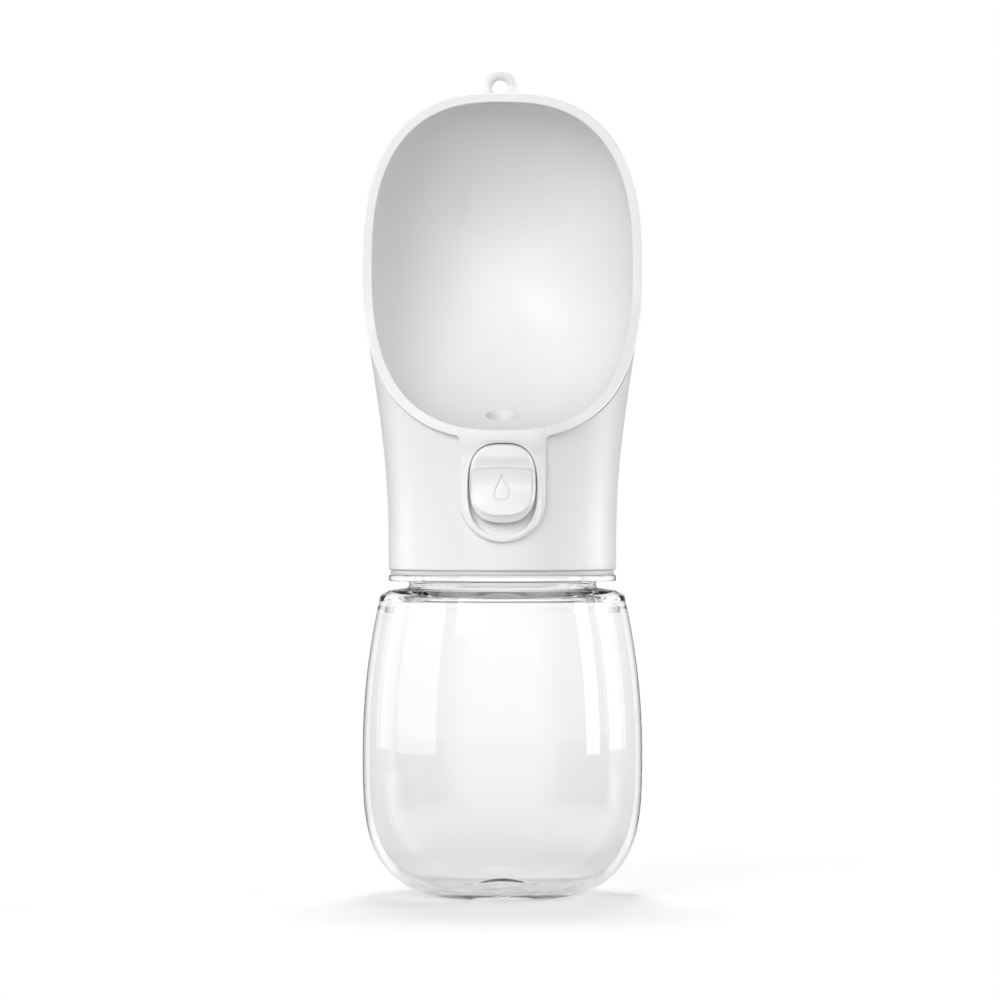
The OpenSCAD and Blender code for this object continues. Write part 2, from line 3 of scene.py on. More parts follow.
import bpy
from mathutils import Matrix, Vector


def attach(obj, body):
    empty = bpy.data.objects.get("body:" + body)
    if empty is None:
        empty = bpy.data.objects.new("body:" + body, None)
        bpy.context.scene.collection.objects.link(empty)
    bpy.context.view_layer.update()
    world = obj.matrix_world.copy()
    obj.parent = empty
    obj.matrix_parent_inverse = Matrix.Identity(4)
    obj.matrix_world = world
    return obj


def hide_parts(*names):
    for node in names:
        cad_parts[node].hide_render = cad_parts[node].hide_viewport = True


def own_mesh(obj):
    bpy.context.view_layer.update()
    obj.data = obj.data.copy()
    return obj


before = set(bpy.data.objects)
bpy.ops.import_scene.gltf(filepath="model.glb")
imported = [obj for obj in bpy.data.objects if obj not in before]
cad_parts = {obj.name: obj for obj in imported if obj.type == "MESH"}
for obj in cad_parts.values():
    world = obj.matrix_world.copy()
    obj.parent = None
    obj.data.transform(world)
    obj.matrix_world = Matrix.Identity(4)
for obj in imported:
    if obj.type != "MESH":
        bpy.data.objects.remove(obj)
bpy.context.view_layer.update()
mm = 0.001


# ---- Tank ----
# The tank is one clear bottle, blown and then finished at the neck. The barrel bulges, the base has
# a small push-up to stand steady, and a flange and a two-start thread carry the head.
def clamp01(u):
    return min(1.0, max(0.0, u))


def arch(u, n):
    """Height of a unit superellipse of exponent n over u."""
    return max(0.0, 1 - abs(u) ** n) ** (1 / n)


def soft_corners(corners, steps=5):
    """A line through corners (across, up, fillet radius) with each corner rounded by an arc."""
    line = []
    for i, (across, up, radius) in enumerate(corners):
        here = Vector((across, up))
        if radius == 0 or i in (0, len(corners) - 1):
            line.append(here)
            continue
        before = (Vector(corners[i - 1][:2]) - here).normalized()
        after = (Vector(corners[i + 1][:2]) - here).normalized()
        half = before.angle(after) / 2
        reach = radius / math.tan(half)
        centre = here + (before + after).normalized() * (radius / math.sin(half))
        start = here + before * reach - centre
        end = here + after * reach - centre
        turn = start.angle_signed(end)
        for k in range(steps + 1):
            angle = -turn * k / steps
            line.append(centre + Vector((start.x * math.cos(angle) - start.y * math.sin(angle),
                                         start.x * math.sin(angle) + start.y * math.cos(angle))))
    return line


def turned(name, line, steps=144):
    """A round piece: the line (radius, height) in millimetres is drawn point by point and spun."""
    bpy.ops.object.select_all(action="DESELECT")
    bpy.ops.mesh.primitive_plane_add(size=mm)
    piece = bpy.context.object
    piece.name = piece.data.name = name
    bpy.ops.object.mode_set(mode="EDIT")
    bpy.ops.mesh.merge(type="CENTER")
    bpy.ops.transform.translate(value=(line[0][0] * mm, 0, line[0][1] * mm))
    for (r0, z0), (r1, z1) in zip(line, line[1:]):
        step = ((r1 - r0) * mm, 0, (z1 - z0) * mm)
        bpy.ops.mesh.extrude_region_move(TRANSFORM_OT_translate={"value": step})
    bpy.ops.mesh.select_all(action="SELECT")
    bpy.ops.mesh.spin(steps=steps, angle=math.tau, center=(0, 0, 0), axis=(0, 0, 1))
    bpy.ops.mesh.select_all(action="SELECT")
    bpy.ops.mesh.remove_doubles(threshold=0.001 * mm)
    bpy.ops.mesh.normals_make_consistent(inside=False)
    bpy.ops.object.mode_set(mode="OBJECT")
    bpy.ops.object.shade_smooth_by_angle(angle=math.radians(38))
    return piece


tank_r, tank_wall, base_wall = 40.5, 1.9, 2.3
belly_z, shoulder_z, shoulder_r = 42.0, 85.8, 35.6
groove_z, flange_z, gasket_z, neck_top = 89.2, 91.2, 92.9, 102.8
groove_r, flange_r, neck_r, neck_bore = 27.1, 32.9, 26.0, 23.6
push_up_r, push_up_h = 11.2, 2.0
thread_rise, thread_height = 8, 1.15


def barrel_low(wall, foot):
    """Points of the barrel from the foot up to the belly."""
    steps = 40
    line = []
    for k in range(steps + 1):
        z = foot + (belly_z - foot) * (1 - math.cos(math.pi / 2 * k / steps))
        line.append(((tank_r - wall) * arch((belly_z - z) / (belly_z + 1.5 - foot), 3.3), z))
    return line


def barrel_high(wall):
    """Points of the barrel from the belly up to the shoulder."""
    rise, fall = shoulder_z - belly_z, tank_r - shoulder_r
    big = (rise * rise + fall * fall) / (2 * fall)
    steps = 24
    heights = [belly_z + rise * k / steps for k in range(1, steps)]
    return [(tank_r - big + math.sqrt(big * big - (z - belly_z) ** 2) - wall, z) for z in heights]


def foot_line(floor_z):
    """Points of the push-up from the axis out to the foot."""
    steps = 14
    radii = [push_up_r * k / steps for k in range(steps + 1)]
    return [(r, floor_z + push_up_h * (1 + math.cos(math.pi * r / push_up_r)) / 2) for r in radii]


outside = foot_line(0) + barrel_low(0, 0) + barrel_high(0) + soft_corners([
    (36.0, 83.0, 0), (35.4, 87.0, 1.3), (32.7, 88.4, 1.6), (groove_r, groove_z, 0.9),
    (groove_r, flange_z, 0.5), (flange_r, flange_z, 0.35), (flange_r, gasket_z, 0.45),
    (neck_r, gasket_z, 0.3), (neck_r, neck_top, 0.7), (neck_bore, neck_top, 0.5),
    (neck_bore, 87.6, 2.2), (31.6, 86.5, 1.4), (33.5, 85.0, 1.2), (34.1, 82.0, 0)])
inside = list(reversed(foot_line(base_wall) + barrel_low(tank_wall, base_wall) + barrel_high(tank_wall)))
tank = turned("tank_bottle", [tuple(p) for p in outside] + inside)


def screw_ridge(name, radius, low, pitch, turns, start, height, width, out=1):
    """One thread ridge that climbs round the axis and runs out to nothing at both ends."""
    bpy.ops.object.select_all(action="DESELECT")
    around = int(72 * turns)
    bpy.ops.mesh.primitive_grid_add(x_subdivisions=around, y_subdivisions=8, size=1)
    ridge = bpy.context.object
    ridge.name = ridge.data.name = name
    for v in ridge.data.vertices:
        u, w = v.co.x + 0.5, v.co.y + 0.5
        run = clamp01(min(u, 1 - u) * turns * 5)
        proud = height * math.sin(math.pi * w) ** 0.7 * math.sin(math.pi / 2 * run) - 0.1
        angle = start + math.tau * turns * u
        r = radius + out * proud
        z = low + pitch * turns * u + width * (w - 0.5)
        v.co = Vector((r * math.cos(angle), r * math.sin(angle), z)) * mm
    bpy.ops.object.mode_set(mode="EDIT")
    bpy.ops.mesh.select_all(action="SELECT")
    if out < 0:
        bpy.ops.mesh.flip_normals()
    bpy.ops.object.mode_set(mode="OBJECT")
    bpy.ops.object.shade_smooth()
    return ridge


def joined(target, *others):
    """The other pieces become part of the target's mesh."""
    bpy.ops.object.select_all(action="DESELECT")
    for piece in (*others, target):
        piece.select_set(True)
    bpy.context.view_layer.objects.active = target
    bpy.ops.object.join()
    return target


for k in range(2):
    joined(tank, screw_ridge(f"neck_thread_{k}", neck_r, 95.2, thread_rise, 0.62,
                             math.pi * k, thread_height, 2.0))


def new_material(name):
    material = bpy.data.materials.new(name)
    material.use_nodes = True
    return material, material.node_tree.nodes, material.node_tree.links


def grain_group():
    """Moulded surface: a fine grain with slow changes of gloss and tint, on object coordinates."""
    group = bpy.data.node_groups.new("moulded_grain", "ShaderNodeTree")
    face = group.interface
    base = face.new_socket(name="Colour", in_out="INPUT", socket_type="NodeSocketColor")
    base.default_value = (0.8, 0.8, 0.8, 1)
    for name, value in (("Roughness", 0.3), ("Grain size", 1500.0), ("Grain depth", 0.1),
                        ("Gloss spread", 0.05), ("Tint spread", 0.02)):
        face.new_socket(name=name, in_out="INPUT", socket_type="NodeSocketFloat").default_value = value
    for name, kind in (("Colour", "Color"), ("Roughness", "Float"), ("Normal", "Vector")):
        face.new_socket(name=name, in_out="OUTPUT", socket_type=f"NodeSocket{kind}")
    n, link = group.nodes, group.links.new
    given, out = n.new("NodeGroupInput"), n.new("NodeGroupOutput")
    place = n.new("ShaderNodeTexCoord")
    grain, slow = n.new("ShaderNodeTexNoise"), n.new("ShaderNodeTexNoise")
    slow.inputs["Scale"].default_value = 45
    grain.inputs["Detail"].default_value = 3
    bump, gloss, tint = n.new("ShaderNodeBump"), n.new("ShaderNodeMath"), n.new("ShaderNodeMath")
    rough, dark, mix = n.new("ShaderNodeMath"), n.new("ShaderNodeMath"), n.new("ShaderNodeMix")
    bump.inputs["Distance"].default_value = 0.00006
    link(place.outputs["Object"], grain.inputs["Vector"])
    link(place.outputs["Object"], slow.inputs["Vector"])
    link(given.outputs["Grain size"], grain.inputs["Scale"])
    link(given.outputs["Grain depth"], bump.inputs["Strength"])
    link(grain.outputs["Fac"], bump.inputs["Height"])
    gloss.operation, rough.operation = "SUBTRACT", "MULTIPLY_ADD"
    gloss.inputs[1].default_value = 0.5
    link(slow.outputs["Fac"], gloss.inputs[0])
    link(gloss.outputs[0], rough.inputs[0])
    link(given.outputs["Gloss spread"], rough.inputs[1])
    link(given.outputs["Roughness"], rough.inputs[2])
    tint.operation, dark.operation = "MULTIPLY", "SUBTRACT"
    link(slow.outputs["Fac"], tint.inputs[0])
    link(given.outputs["Tint spread"], tint.inputs[1])
    dark.inputs[0].default_value = 1
    link(tint.outputs[0], dark.inputs[1])
    mix.data_type, mix.blend_type = "RGBA", "MULTIPLY"
    mix.inputs["Factor"].default_value = 1
    link(given.outputs["Colour"], mix.inputs["A"])
    link(dark.outputs[0], mix.inputs["B"])
    link(mix.outputs["Result"], out.inputs["Colour"])
    link(rough.outputs[0], out.inputs["Roughness"])
    link(bump.outputs["Normal"], out.inputs["Normal"])
    return group


moulded_grain = grain_group()


def moulded(name, colour, roughness, grain_size=1500, grain_depth=0.15, gloss_spread=0.12,
            tint_spread=0.03, colour_from=None):
    """An opaque moulded plastic or rubber with its own grain."""
    material, n, links = new_material(name)
    shader = n["Principled BSDF"]
    grain = n.new("ShaderNodeGroup")
    grain.node_tree = moulded_grain
    for socket, value in (("Colour", (*colour, 1)), ("Roughness", roughness), ("Grain size", grain_size),
                          ("Grain depth", grain_depth), ("Gloss spread", gloss_spread),
                          ("Tint spread", tint_spread)):
        grain.inputs[socket].default_value = value
    if colour_from:
        links.new(colour_from(n, links), grain.inputs["Colour"])
    links.new(grain.outputs["Colour"], shader.inputs["Base Color"])
    links.new(grain.outputs["Roughness"], shader.inputs["Roughness"])
    links.new(grain.outputs["Normal"], shader.inputs["Normal"])
    return material


def dress(piece, *materials):
    """The piece takes these materials in place of any it has."""
    piece.data.materials.clear()
    for material in materials:
        piece.data.materials.append(material)


def ramp(n, links, value, stops):
    """A colour that changes with a value, through stops (place, grey or colour)."""
    node = n.new("ShaderNodeValToRGB")
    links.new(value, node.inputs["Fac"])
    while len(node.color_ramp.elements) < len(stops):
        node.color_ramp.elements.new(0.5)
    for element, (place, tone) in zip(node.color_ramp.elements, stops):
        element.position = place
        element.color = (tone, tone, tone, 1) if isinstance(tone, float) else (*tone, 1)
    return node.outputs["Color"]


def clear_plastic(name, edge_shade_stops, height_shade_stops, coat, level_above):
    """Clear plastic with painted shade: a dark outline painted where a steep wall is seen edge on, and
    painted shade that changes with height.
    """
    material, n, links = new_material(name)
    shader = n["Principled BSDF"]
    for socket, value in (("Transmission Weight", 1), ("IOR", 1.1), ("Coat IOR", 1.9),
                          ("Coat Roughness", 0.015), ("Roughness", 0.02)):
        shader.inputs[socket].default_value = value
    edge, side, place = (n.new(f"ShaderNode{kind}") for kind in ("LayerWeight", "NewGeometry", "TexCoord"))
    edge.inputs["Blend"].default_value = 0.5
    split = n.new("ShaderNodeSeparateXYZ")
    links.new(place.outputs["Object"], split.inputs["Vector"])

    # painted shade: the dark edge outline acts on steep walls, and on all walls above a level in metres
    flat, lean, steep = (n.new(f"ShaderNode{kind}") for kind in ("SeparateXYZ", "Math", "MapRange"))
    links.new(place.outputs["Normal"], flat.inputs["Vector"])
    lean.operation = "ABSOLUTE"
    links.new(flat.outputs["Z"], lean.inputs[0])
    links.new(lean.outputs[0], steep.inputs["Value"])
    for socket, value in (("From Min", 0.55), ("From Max", 0.9), ("To Min", 1), ("To Max", 0)):
        steep.inputs[socket].default_value = value
    high, keep, painted_edge_shade = (n.new(f"ShaderNode{kind}") for kind in ("MapRange", "Math", "Mix"))
    links.new(split.outputs["Z"], high.inputs["Value"])
    high.inputs["From Min"].default_value = level_above
    high.inputs["From Max"].default_value = level_above + 0.002
    keep.operation = "MAXIMUM"
    links.new(steep.outputs["Result"], keep.inputs[0])
    links.new(high.outputs["Result"], keep.inputs[1])
    painted_edge_shade.data_type = "RGBA"
    painted_edge_shade.inputs["A"].default_value = (0.97, 0.97, 0.97, 1)
    links.new(keep.outputs[0], painted_edge_shade.inputs["Factor"])
    links.new(ramp(n, links, edge.outputs["Facing"], edge_shade_stops), painted_edge_shade.inputs["B"])

    # painted shade by height, which runs over the tank's height in tenths of a metre
    height, mix = n.new("ShaderNodeMapRange"), n.new("ShaderNodeMix")
    links.new(split.outputs["Z"], height.inputs["Value"])
    height.inputs["From Max"].default_value = 0.1
    mix.data_type, mix.blend_type = "RGBA", "MULTIPLY"
    mix.inputs["Factor"].default_value = 1
    links.new(painted_edge_shade.outputs["Result"], mix.inputs["A"])
    links.new(ramp(n, links, height.outputs["Result"], height_shade_stops), mix.inputs["B"])
    links.new(mix.outputs["Result"], shader.inputs["Base Color"])

    # slow waves, as blown walls have
    noise, bump = n.new("ShaderNodeTexNoise"), n.new("ShaderNodeBump")
    noise.inputs["Scale"].default_value = 60
    links.new(place.outputs["Object"], noise.inputs["Vector"])
    links.new(noise.outputs["Fac"], bump.inputs["Height"])
    bump.inputs["Distance"].default_value = 0.00004
    bump.inputs["Strength"].default_value = 0.3
    links.new(bump.outputs["Normal"], shader.inputs["Normal"])

    # the gloss lies on the outer face only, and fades where it is met head on or at a shallow angle
    gloss, faded, outer = (n.new(f"ShaderNode{kind}") for kind in ("MapRange", "Math", "Math"))
    links.new(edge.outputs["Facing"], gloss.inputs["Value"])
    for socket, value in (("From Min", 0.34), ("From Max", 0.38), ("To Min", coat), ("To Max", 0)):
        gloss.inputs[socket].default_value = value
    faded.operation = "MULTIPLY"
    links.new(gloss.outputs["Result"], faded.inputs[0])
    links.new(ramp(n, links, edge.outputs["Facing"], [(0.0, 0.0), (0.04, 0.0), (0.11, 1.0)]), faded.inputs[1])
    outer.operation = "MULTIPLY_ADD"
    outer.use_clamp = True
    outer.inputs[1].default_value = -1
    links.new(side.outputs["Backfacing"], outer.inputs[0])
    links.new(faded.outputs[0], outer.inputs[2])
    links.new(outer.outputs[0], shader.inputs["Coat Weight"])
    return material


# painted shade: the edge stops darken the outer and inner walls into a dark outline where they are seen edge
# on
outside_edge_shade = [(0.0, 1.0), (0.76, 0.97), (0.86, 0.45), (0.97, 0.3)]
# painted shade: the height stops darken the outside a little at the foot and in a band at the groove under
# the flange, and the inside towards the bottom
outside_height_shade = [(0.0, 0.95), (0.3, 1.0), (0.887, 1.0), (0.896, 0.74), (0.908, 0.74), (0.913, 1.0)]
inside_edge_shade = [(0.0, 1.0), (0.35, 0.985), (0.7, 0.88), (0.95, 0.75)]
inside_height_shade = [(0.0, 0.95), (0.045, 0.95), (0.09, 0.74), (0.2, 0.83), (0.45, 0.93), (0.9, 1.0)]
clear_outside = clear_plastic("clear_outside", outside_edge_shade, outside_height_shade, 0.9, 0.03)
clear_inside = clear_plastic("clear_inside", inside_edge_shade, inside_height_shade, 0.0, 0.2)
dress(tank, clear_outside, clear_inside)
for polygon in tank.data.polygons:
    radius = math.hypot(polygon.center.x, polygon.center.y)
    outwards = polygon.normal.x * polygon.center.x + polygon.normal.y * polygon.center.y
    inner = outwards < 0 and polygon.center.z > base_wall * mm * 0.5
    inner_floor = polygon.normal.z > 0.5 and polygon.center.z < 12 * mm
    polygon.material_index = 1 if inner or inner_floor else 0
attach(tank, "tank")
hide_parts("tank")


# ---- Neck gasket ----
# A flat ring of grey silicone rubber lies on the tank's flange. The head's skirt presses on it and turns
# over it, so that no dirt gets in at the thread.
gasket_in, gasket_out, seat_z = 27.3, 32.4, 94.4


def ring(name, inner, outer, low, high, softness, sides=96):
    """A flat ring with eased edges: inside below, outside below, outside above and inside above."""
    middle = (low + high) / 2
    corners = ((inner, low), (outer, low), (outer, high), (inner, high))
    around = [(r, z, soft) for (r, z), soft in zip(corners, softness)]
    return turned(name, soft_corners([(inner, middle, 0), *around, (inner, middle, 0)]), sides)


gasket = ring("neck_gasket_ring", gasket_in, gasket_out, gasket_z, seat_z, (0.2, 0.3, 0.45, 0.2), 144)
grey_silicone = moulded("grey_silicone", (0.66, 0.66, 0.68), 0.45, 900, 0.2)
dress(gasket, grey_silicone)
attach(gasket, "gasket")
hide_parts("neck_gasket")


# ---- Mouth seal ----
# A flat ring of the same grey silicone, pressed in under the partition. The tank's mouth bites into it
# when the head is screwed home, so that the water stays in.
plate_z, plate_top = 104.3, 106.8
mouth_seal = ring("mouth_seal_ring", neck_bore + 0.2, neck_r + 1, neck_top, plate_z, [0.25] * 4, 144)
dress(mouth_seal, grey_silicone)
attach(mouth_seal, "head")
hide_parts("mouth_seal")


# ---- Valve body ----
# One stiff natural-white moulding that snaps up into the skirt: a collar with the two-start thread, the
# partition with the valve's seat, the chimney that leads the water up, and the boss for the push rod.
collar_bore, collar_out = 27.4, 30.6
seat_hole_r, chimney_r, chimney_out, chimney_top = 4.6, 5.5, 7.5, 134.0
lip_in, lip_out, disc_top = 5.8, 7.6, 103.3
rod_z, rod_r, boss_front, boss_r, gland_r, gland_back = 119.3, 2.5, -17.0, 5.6, 4.05, -14.4


def settled(piece, turn_x=0.0, place=(0, 0, 0)):
    """The piece is turned about X and moved in millimetres, and keeps no place of its own."""
    bpy.ops.object.select_all(action="DESELECT")
    bpy.context.view_layer.objects.active = piece
    piece.select_set(True)
    piece.rotation_euler = (turn_x, 0, 0)
    piece.location = Vector(place) * mm
    bpy.ops.object.transform_apply()
    return piece


def laid(piece, z, x=0):
    """A piece that was turned upright is laid along the depth, at height z."""
    return settled(piece, -math.pi / 2, (x, 0, z))


def bar(name, radius, front, back, z, x=0, sides=64):
    """A round bar that runs from front back to back, at height z."""
    bpy.ops.object.select_all(action="DESELECT")
    bpy.ops.mesh.primitive_cylinder_add(vertices=sides, radius=radius * mm, depth=(back - front) * mm)
    bpy.context.object.name = name
    return settled(bpy.context.object, math.pi / 2, (x, (front + back) / 2, z))


def softened(piece, angle=35):
    """Shaded smooth, apart from edges sharper than the angle."""
    bpy.ops.object.select_all(action="DESELECT")
    bpy.context.view_layer.objects.active = piece
    piece.select_set(True)
    bpy.ops.object.shade_smooth_by_angle(angle=math.radians(angle))
    return piece


def cut(piece, *cutters):
    """The cutters' shapes are taken out of the piece."""
    for cutter in cutters:
        modifier = piece.modifiers.new("cut", "BOOLEAN")
        modifier.object, modifier.solver = cutter, "EXACT"
        bpy.ops.object.select_all(action="DESELECT")
        bpy.context.view_layer.objects.active = piece
        piece.select_set(True)
        bpy.ops.object.modifier_apply(modifier=modifier.name)
        bpy.data.objects.remove(cutter)
    return piece


def united(piece, other):
    """The other shape grows onto the piece."""
    modifier = piece.modifiers.new("unite", "BOOLEAN")
    modifier.object, modifier.solver, modifier.operation = other, "EXACT", "UNION"
    bpy.ops.object.select_all(action="DESELECT")
    bpy.context.view_layer.objects.active = piece
    piece.select_set(True)
    bpy.ops.object.modifier_apply(modifier=modifier.name)
    bpy.data.objects.remove(other)
    return piece


def slab(name, outline, front, back):
    """A flat outline (x, z) extruded from front back to back."""
    bpy.ops.object.select_all(action="DESELECT")
    bpy.ops.mesh.primitive_circle_add(vertices=len(outline), radius=1, fill_type="NGON")
    piece = bpy.context.object
    piece.name = piece.data.name = name
    for v, (x, z) in zip(piece.data.vertices, outline):
        v.co = Vector((x, front, z)) * mm
    bpy.ops.object.mode_set(mode="EDIT")
    bpy.ops.mesh.select_all(action="SELECT")
    bpy.ops.mesh.extrude_region_move(TRANSFORM_OT_translate={"value": (0, (back - front) * mm, 0)})
    bpy.ops.mesh.select_all(action="SELECT")
    bpy.ops.mesh.normals_make_consistent(inside=False)
    bpy.ops.object.mode_set(mode="OBJECT")
    return piece


valve_body = turned("valve_body_shell", soft_corners([
    (0, chimney_top, 0), (chimney_out, chimney_top, 0.3), (chimney_out, plate_top, 1.2),
    (collar_out, plate_top, 0.6), (collar_out, seat_z, 0.4), (0, seat_z, 0)]), 128)
united(valve_body, bar("rod_boss", boss_r, boss_front, -1, rod_z))
cut(valve_body, turned("bore_cutter", soft_corners([
    (0, 90, 0), (28.4, 90, 0), (28.1, 94.3, 0), (collar_bore, 95.0, 0.3), (collar_bore, plate_z, 0.6),
    (lip_out, plate_z, 0.3), (lip_out, disc_top, 0.2), (lip_in, disc_top, 0.2), (lip_in, plate_z, 0.2),
    (seat_hole_r, plate_z, 0.3), (seat_hole_r, plate_top, 0.2), (chimney_r, plate_top, 0.2),
    (chimney_r, 140, 0), (0, 140, 0)]), 128),
    bar("rod_cutter", rod_r + 0.05, -30, 0, rod_z),
    bar("gland_cutter", gland_r, -30, gland_back, rod_z),
    slab("front_cutter", [(11.55, 108), (-11.55, 108), (-11.55, 102.9), (11.55, 102.9)], -40, -29.1))
softened(valve_body, 40)
for k in range(2):
    joined(valve_body, screw_ridge(f"collar_thread_{k}", collar_bore, 97.84, thread_rise, 0.5,
                                   0.5 + math.pi * k, thread_height, 1.7, -1))
inner_plastic = moulded("inner_plastic", (0.74, 0.74, 0.72), 0.38, 1100, 0.12, 0.1, 0.03)
dress(valve_body, inner_plastic)
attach(valve_body, "head")
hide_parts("valve_body")


# ---- Outlet seal ----
# A ring of grey silicone between the chimney's end and the boss under the scoop's outlet. It is squeezed
# a little when the valve body snaps in.
outlet_seal = ring("outlet_seal_ring", chimney_r, chimney_out, chimney_top, 136, [0.35] * 4)
dress(outlet_seal, grey_silicone)
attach(outlet_seal, "head")
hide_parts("outlet_seal")


# ---- Stem guide ----
# A small moulded disc pressed into the foot of the chimney. The stem slides in its middle, and the water
# passes through the ring of holes.
stem_r, stem_gap, guide_r, guide_top, guide_holes = 2.0, 0.05, 5.4, 108.8, 8


def cylinder(name, radius, low, high, sides=96):
    """An upright cylinder about the axis."""
    bpy.ops.object.select_all(action="DESELECT")
    bpy.ops.mesh.primitive_cylinder_add(vertices=sides, radius=radius * mm, depth=(high - low) * mm,
                                        location=(0, 0, (low + high) / 2 * mm))
    piece = bpy.context.object
    piece.name = name
    bpy.ops.object.transform_apply()
    return piece


stem_guide = ring("stem_guide_disc", stem_r + stem_gap, guide_r, plate_top, guide_top, (0.2, 0.25, 0.25, 0.2))
for k in range(guide_holes):
    turn = math.tau * k / guide_holes
    hole = cylinder("hole_cutter", 1.1, 105, 111, 32)
    reach = (guide_r + stem_r + stem_gap) / 2
    cut(stem_guide, settled(hole, 0, (reach * math.cos(turn), reach * math.sin(turn), 0)))
softened(stem_guide, 40)
dress(stem_guide, inner_plastic)
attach(stem_guide, "head")
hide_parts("stem_guide")


# ---- Valve spring ----
# A small coil of stainless wire with closed ends. It stands on the guide and lifts the clip, which
# pulls the valve's disc shut.
clip_low, clip_top, valve_travel = 115.5, 116.3, 3


def lofted(name, sections, closed=True):
    """A grid laid over sections, which are equally long rows of points in millimetres."""
    bpy.ops.object.select_all(action="DESELECT")
    rows, columns = len(sections), len(sections[0])
    last = rows if closed else rows - 1
    bpy.ops.mesh.primitive_grid_add(x_subdivisions=last, y_subdivisions=columns - 1, size=1)
    piece = bpy.context.object
    piece.name = piece.data.name = name
    for v in piece.data.vertices:
        i = round((v.co.x + 0.5) * last) % rows
        k = round((v.co.y + 0.5) * (columns - 1))
        v.co = Vector(sections[i][k]) * mm
    bpy.ops.object.mode_set(mode="EDIT")
    bpy.ops.mesh.select_all(action="SELECT")
    bpy.ops.mesh.remove_doubles(threshold=0.001 * mm)
    bpy.ops.mesh.normals_make_consistent(inside=False)
    bpy.ops.object.mode_set(mode="OBJECT")
    bpy.ops.object.shade_smooth_by_angle(angle=math.radians(35))
    return piece


def coiled(name, coil_r, wire_r, low, high, turns):
    """A spring with one closed coil at either end, wound upwards from low to high."""
    steps, wire_sides = int(turns * 32), 10
    free_turns = turns - 2
    free_rise = high - low - 2 * wire_r - 4 * wire_r
    sections = []
    for k in range(steps + 1):
        wound = turns * k / steps
        lift = 2 * wire_r * min(wound, 1) + free_rise * clamp01((wound - 1) / free_turns)
        lift += 2 * wire_r * max(0, wound - turns + 1)
        a = math.tau * wound
        section = []
        for j in range(wire_sides + 1):
            b = math.tau * j / wire_sides
            r = coil_r + wire_r * math.cos(b)
            section.append((r * math.cos(a), r * math.sin(a), low + wire_r + lift + wire_r * math.sin(b)))
        sections.append(section)
    ends = []
    for section in (sections[0], sections[-1]):
        middle = sum((Vector(point) for point in section[:-1]), Vector()) / wire_sides
        ends.append([tuple(middle)] * (wire_sides + 1))
    return lofted(name, [ends[0], *sections, ends[1]], False)


def steel(name, colour, roughness, along, line_size):
    """Drawn or turned stainless steel: fine lines, dull patches and brighter edges."""
    material, n, links = new_material(name)
    shader = n["Principled BSDF"]
    shader.inputs["Metallic"].default_value = 1
    place, stretch = n.new("ShaderNodeTexCoord"), n.new("ShaderNodeMapping")
    lines, slow, bump = n.new("ShaderNodeTexNoise"), n.new("ShaderNodeTexNoise"), n.new("ShaderNodeBump")
    shape, rough, tint = n.new("ShaderNodeNewGeometry"), n.new("ShaderNodeMapRange"), n.new("ShaderNodeMix")
    sharp_edges = n.new("ShaderNodeMapRange")
    stretch.inputs["Scale"].default_value = along
    lines.inputs["Scale"].default_value = line_size
    lines.inputs["Detail"].default_value = 4
    slow.inputs["Scale"].default_value = 260
    bump.inputs["Distance"].default_value = 0.00003
    bump.inputs["Strength"].default_value = 0.3
    links.new(place.outputs["Object"], stretch.inputs["Vector"])
    links.new(stretch.outputs["Vector"], lines.inputs["Vector"])
    links.new(place.outputs["Object"], slow.inputs["Vector"])
    links.new(lines.outputs["Fac"], bump.inputs["Height"])
    rough.inputs["To Min"].default_value = roughness - 0.08
    rough.inputs["To Max"].default_value = roughness + 0.1
    links.new(slow.outputs["Fac"], rough.inputs["Value"])
    # the colour turns lighter on sharp convex edges, picked out by pointiness
    sharp_edges.inputs["From Min"].default_value = 0.5
    sharp_edges.inputs["From Max"].default_value = 0.62
    links.new(shape.outputs["Pointiness"], sharp_edges.inputs["Value"])
    tint.data_type = "RGBA"
    tint.inputs["A"].default_value = (*colour, 1)
    tint.inputs["B"].default_value = (0.78, 0.78, 0.79, 1)
    links.new(sharp_edges.outputs["Result"], tint.inputs["Factor"])
    links.new(tint.outputs["Result"], shader.inputs["Base Color"])
    links.new(rough.outputs["Result"], shader.inputs["Roughness"])
    links.new(bump.outputs["Normal"], shader.inputs["Normal"])
    return material


valve_spring = coiled("valve_spring_coil", 3.1, 0.3, guide_top, clip_low, 4.5)
spring_steel = steel("spring_steel", (0.56, 0.56, 0.57), 0.26, (1, 1, 3), 2400)
dress(valve_spring, spring_steel)
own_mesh(valve_spring)
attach(valve_spring, "head")
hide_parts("valve_spring")


# ---- Stem clip ----
# A stamped steel washer that slides over the stem and is caught under its cam. The spring pushes on it
# from below.
stem_clip = ring("stem_clip_washer", stem_r + stem_gap, 4.2, clip_low, clip_top, (0.1, 0.25, 0.12, 0.1))
dress(stem_clip, spring_steel)
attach(stem_clip, "valve")
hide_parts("stem_clip")


# ---- Valve stem ----
# A moulded pin of natural white plastic with a collar above the disc and a cam on top. The cam's slope
# faces the push rod, and a blind hole in its foot takes the screw.
cam_top, cam_r, slope_z = 125.3, 3.4, 120.3
disc_low, stem_low, stem_collar_r, screw_hole_r = 100.8, 99.3, 3.2, 0.9


def above_slope(name, height, sign):
    """A cube on one side of the slope that rises at 45 degrees to the back and crosses the axis at height."""
    bpy.ops.object.select_all(action="DESELECT")
    size = 40
    bpy.ops.mesh.primitive_cube_add(size=size * mm)
    bpy.context.object.name = name
    away = Vector((0, -1, 1)).normalized() * size / 2 * sign
    return settled(bpy.context.object, math.pi / 4, (0, away.y, height + away.z))


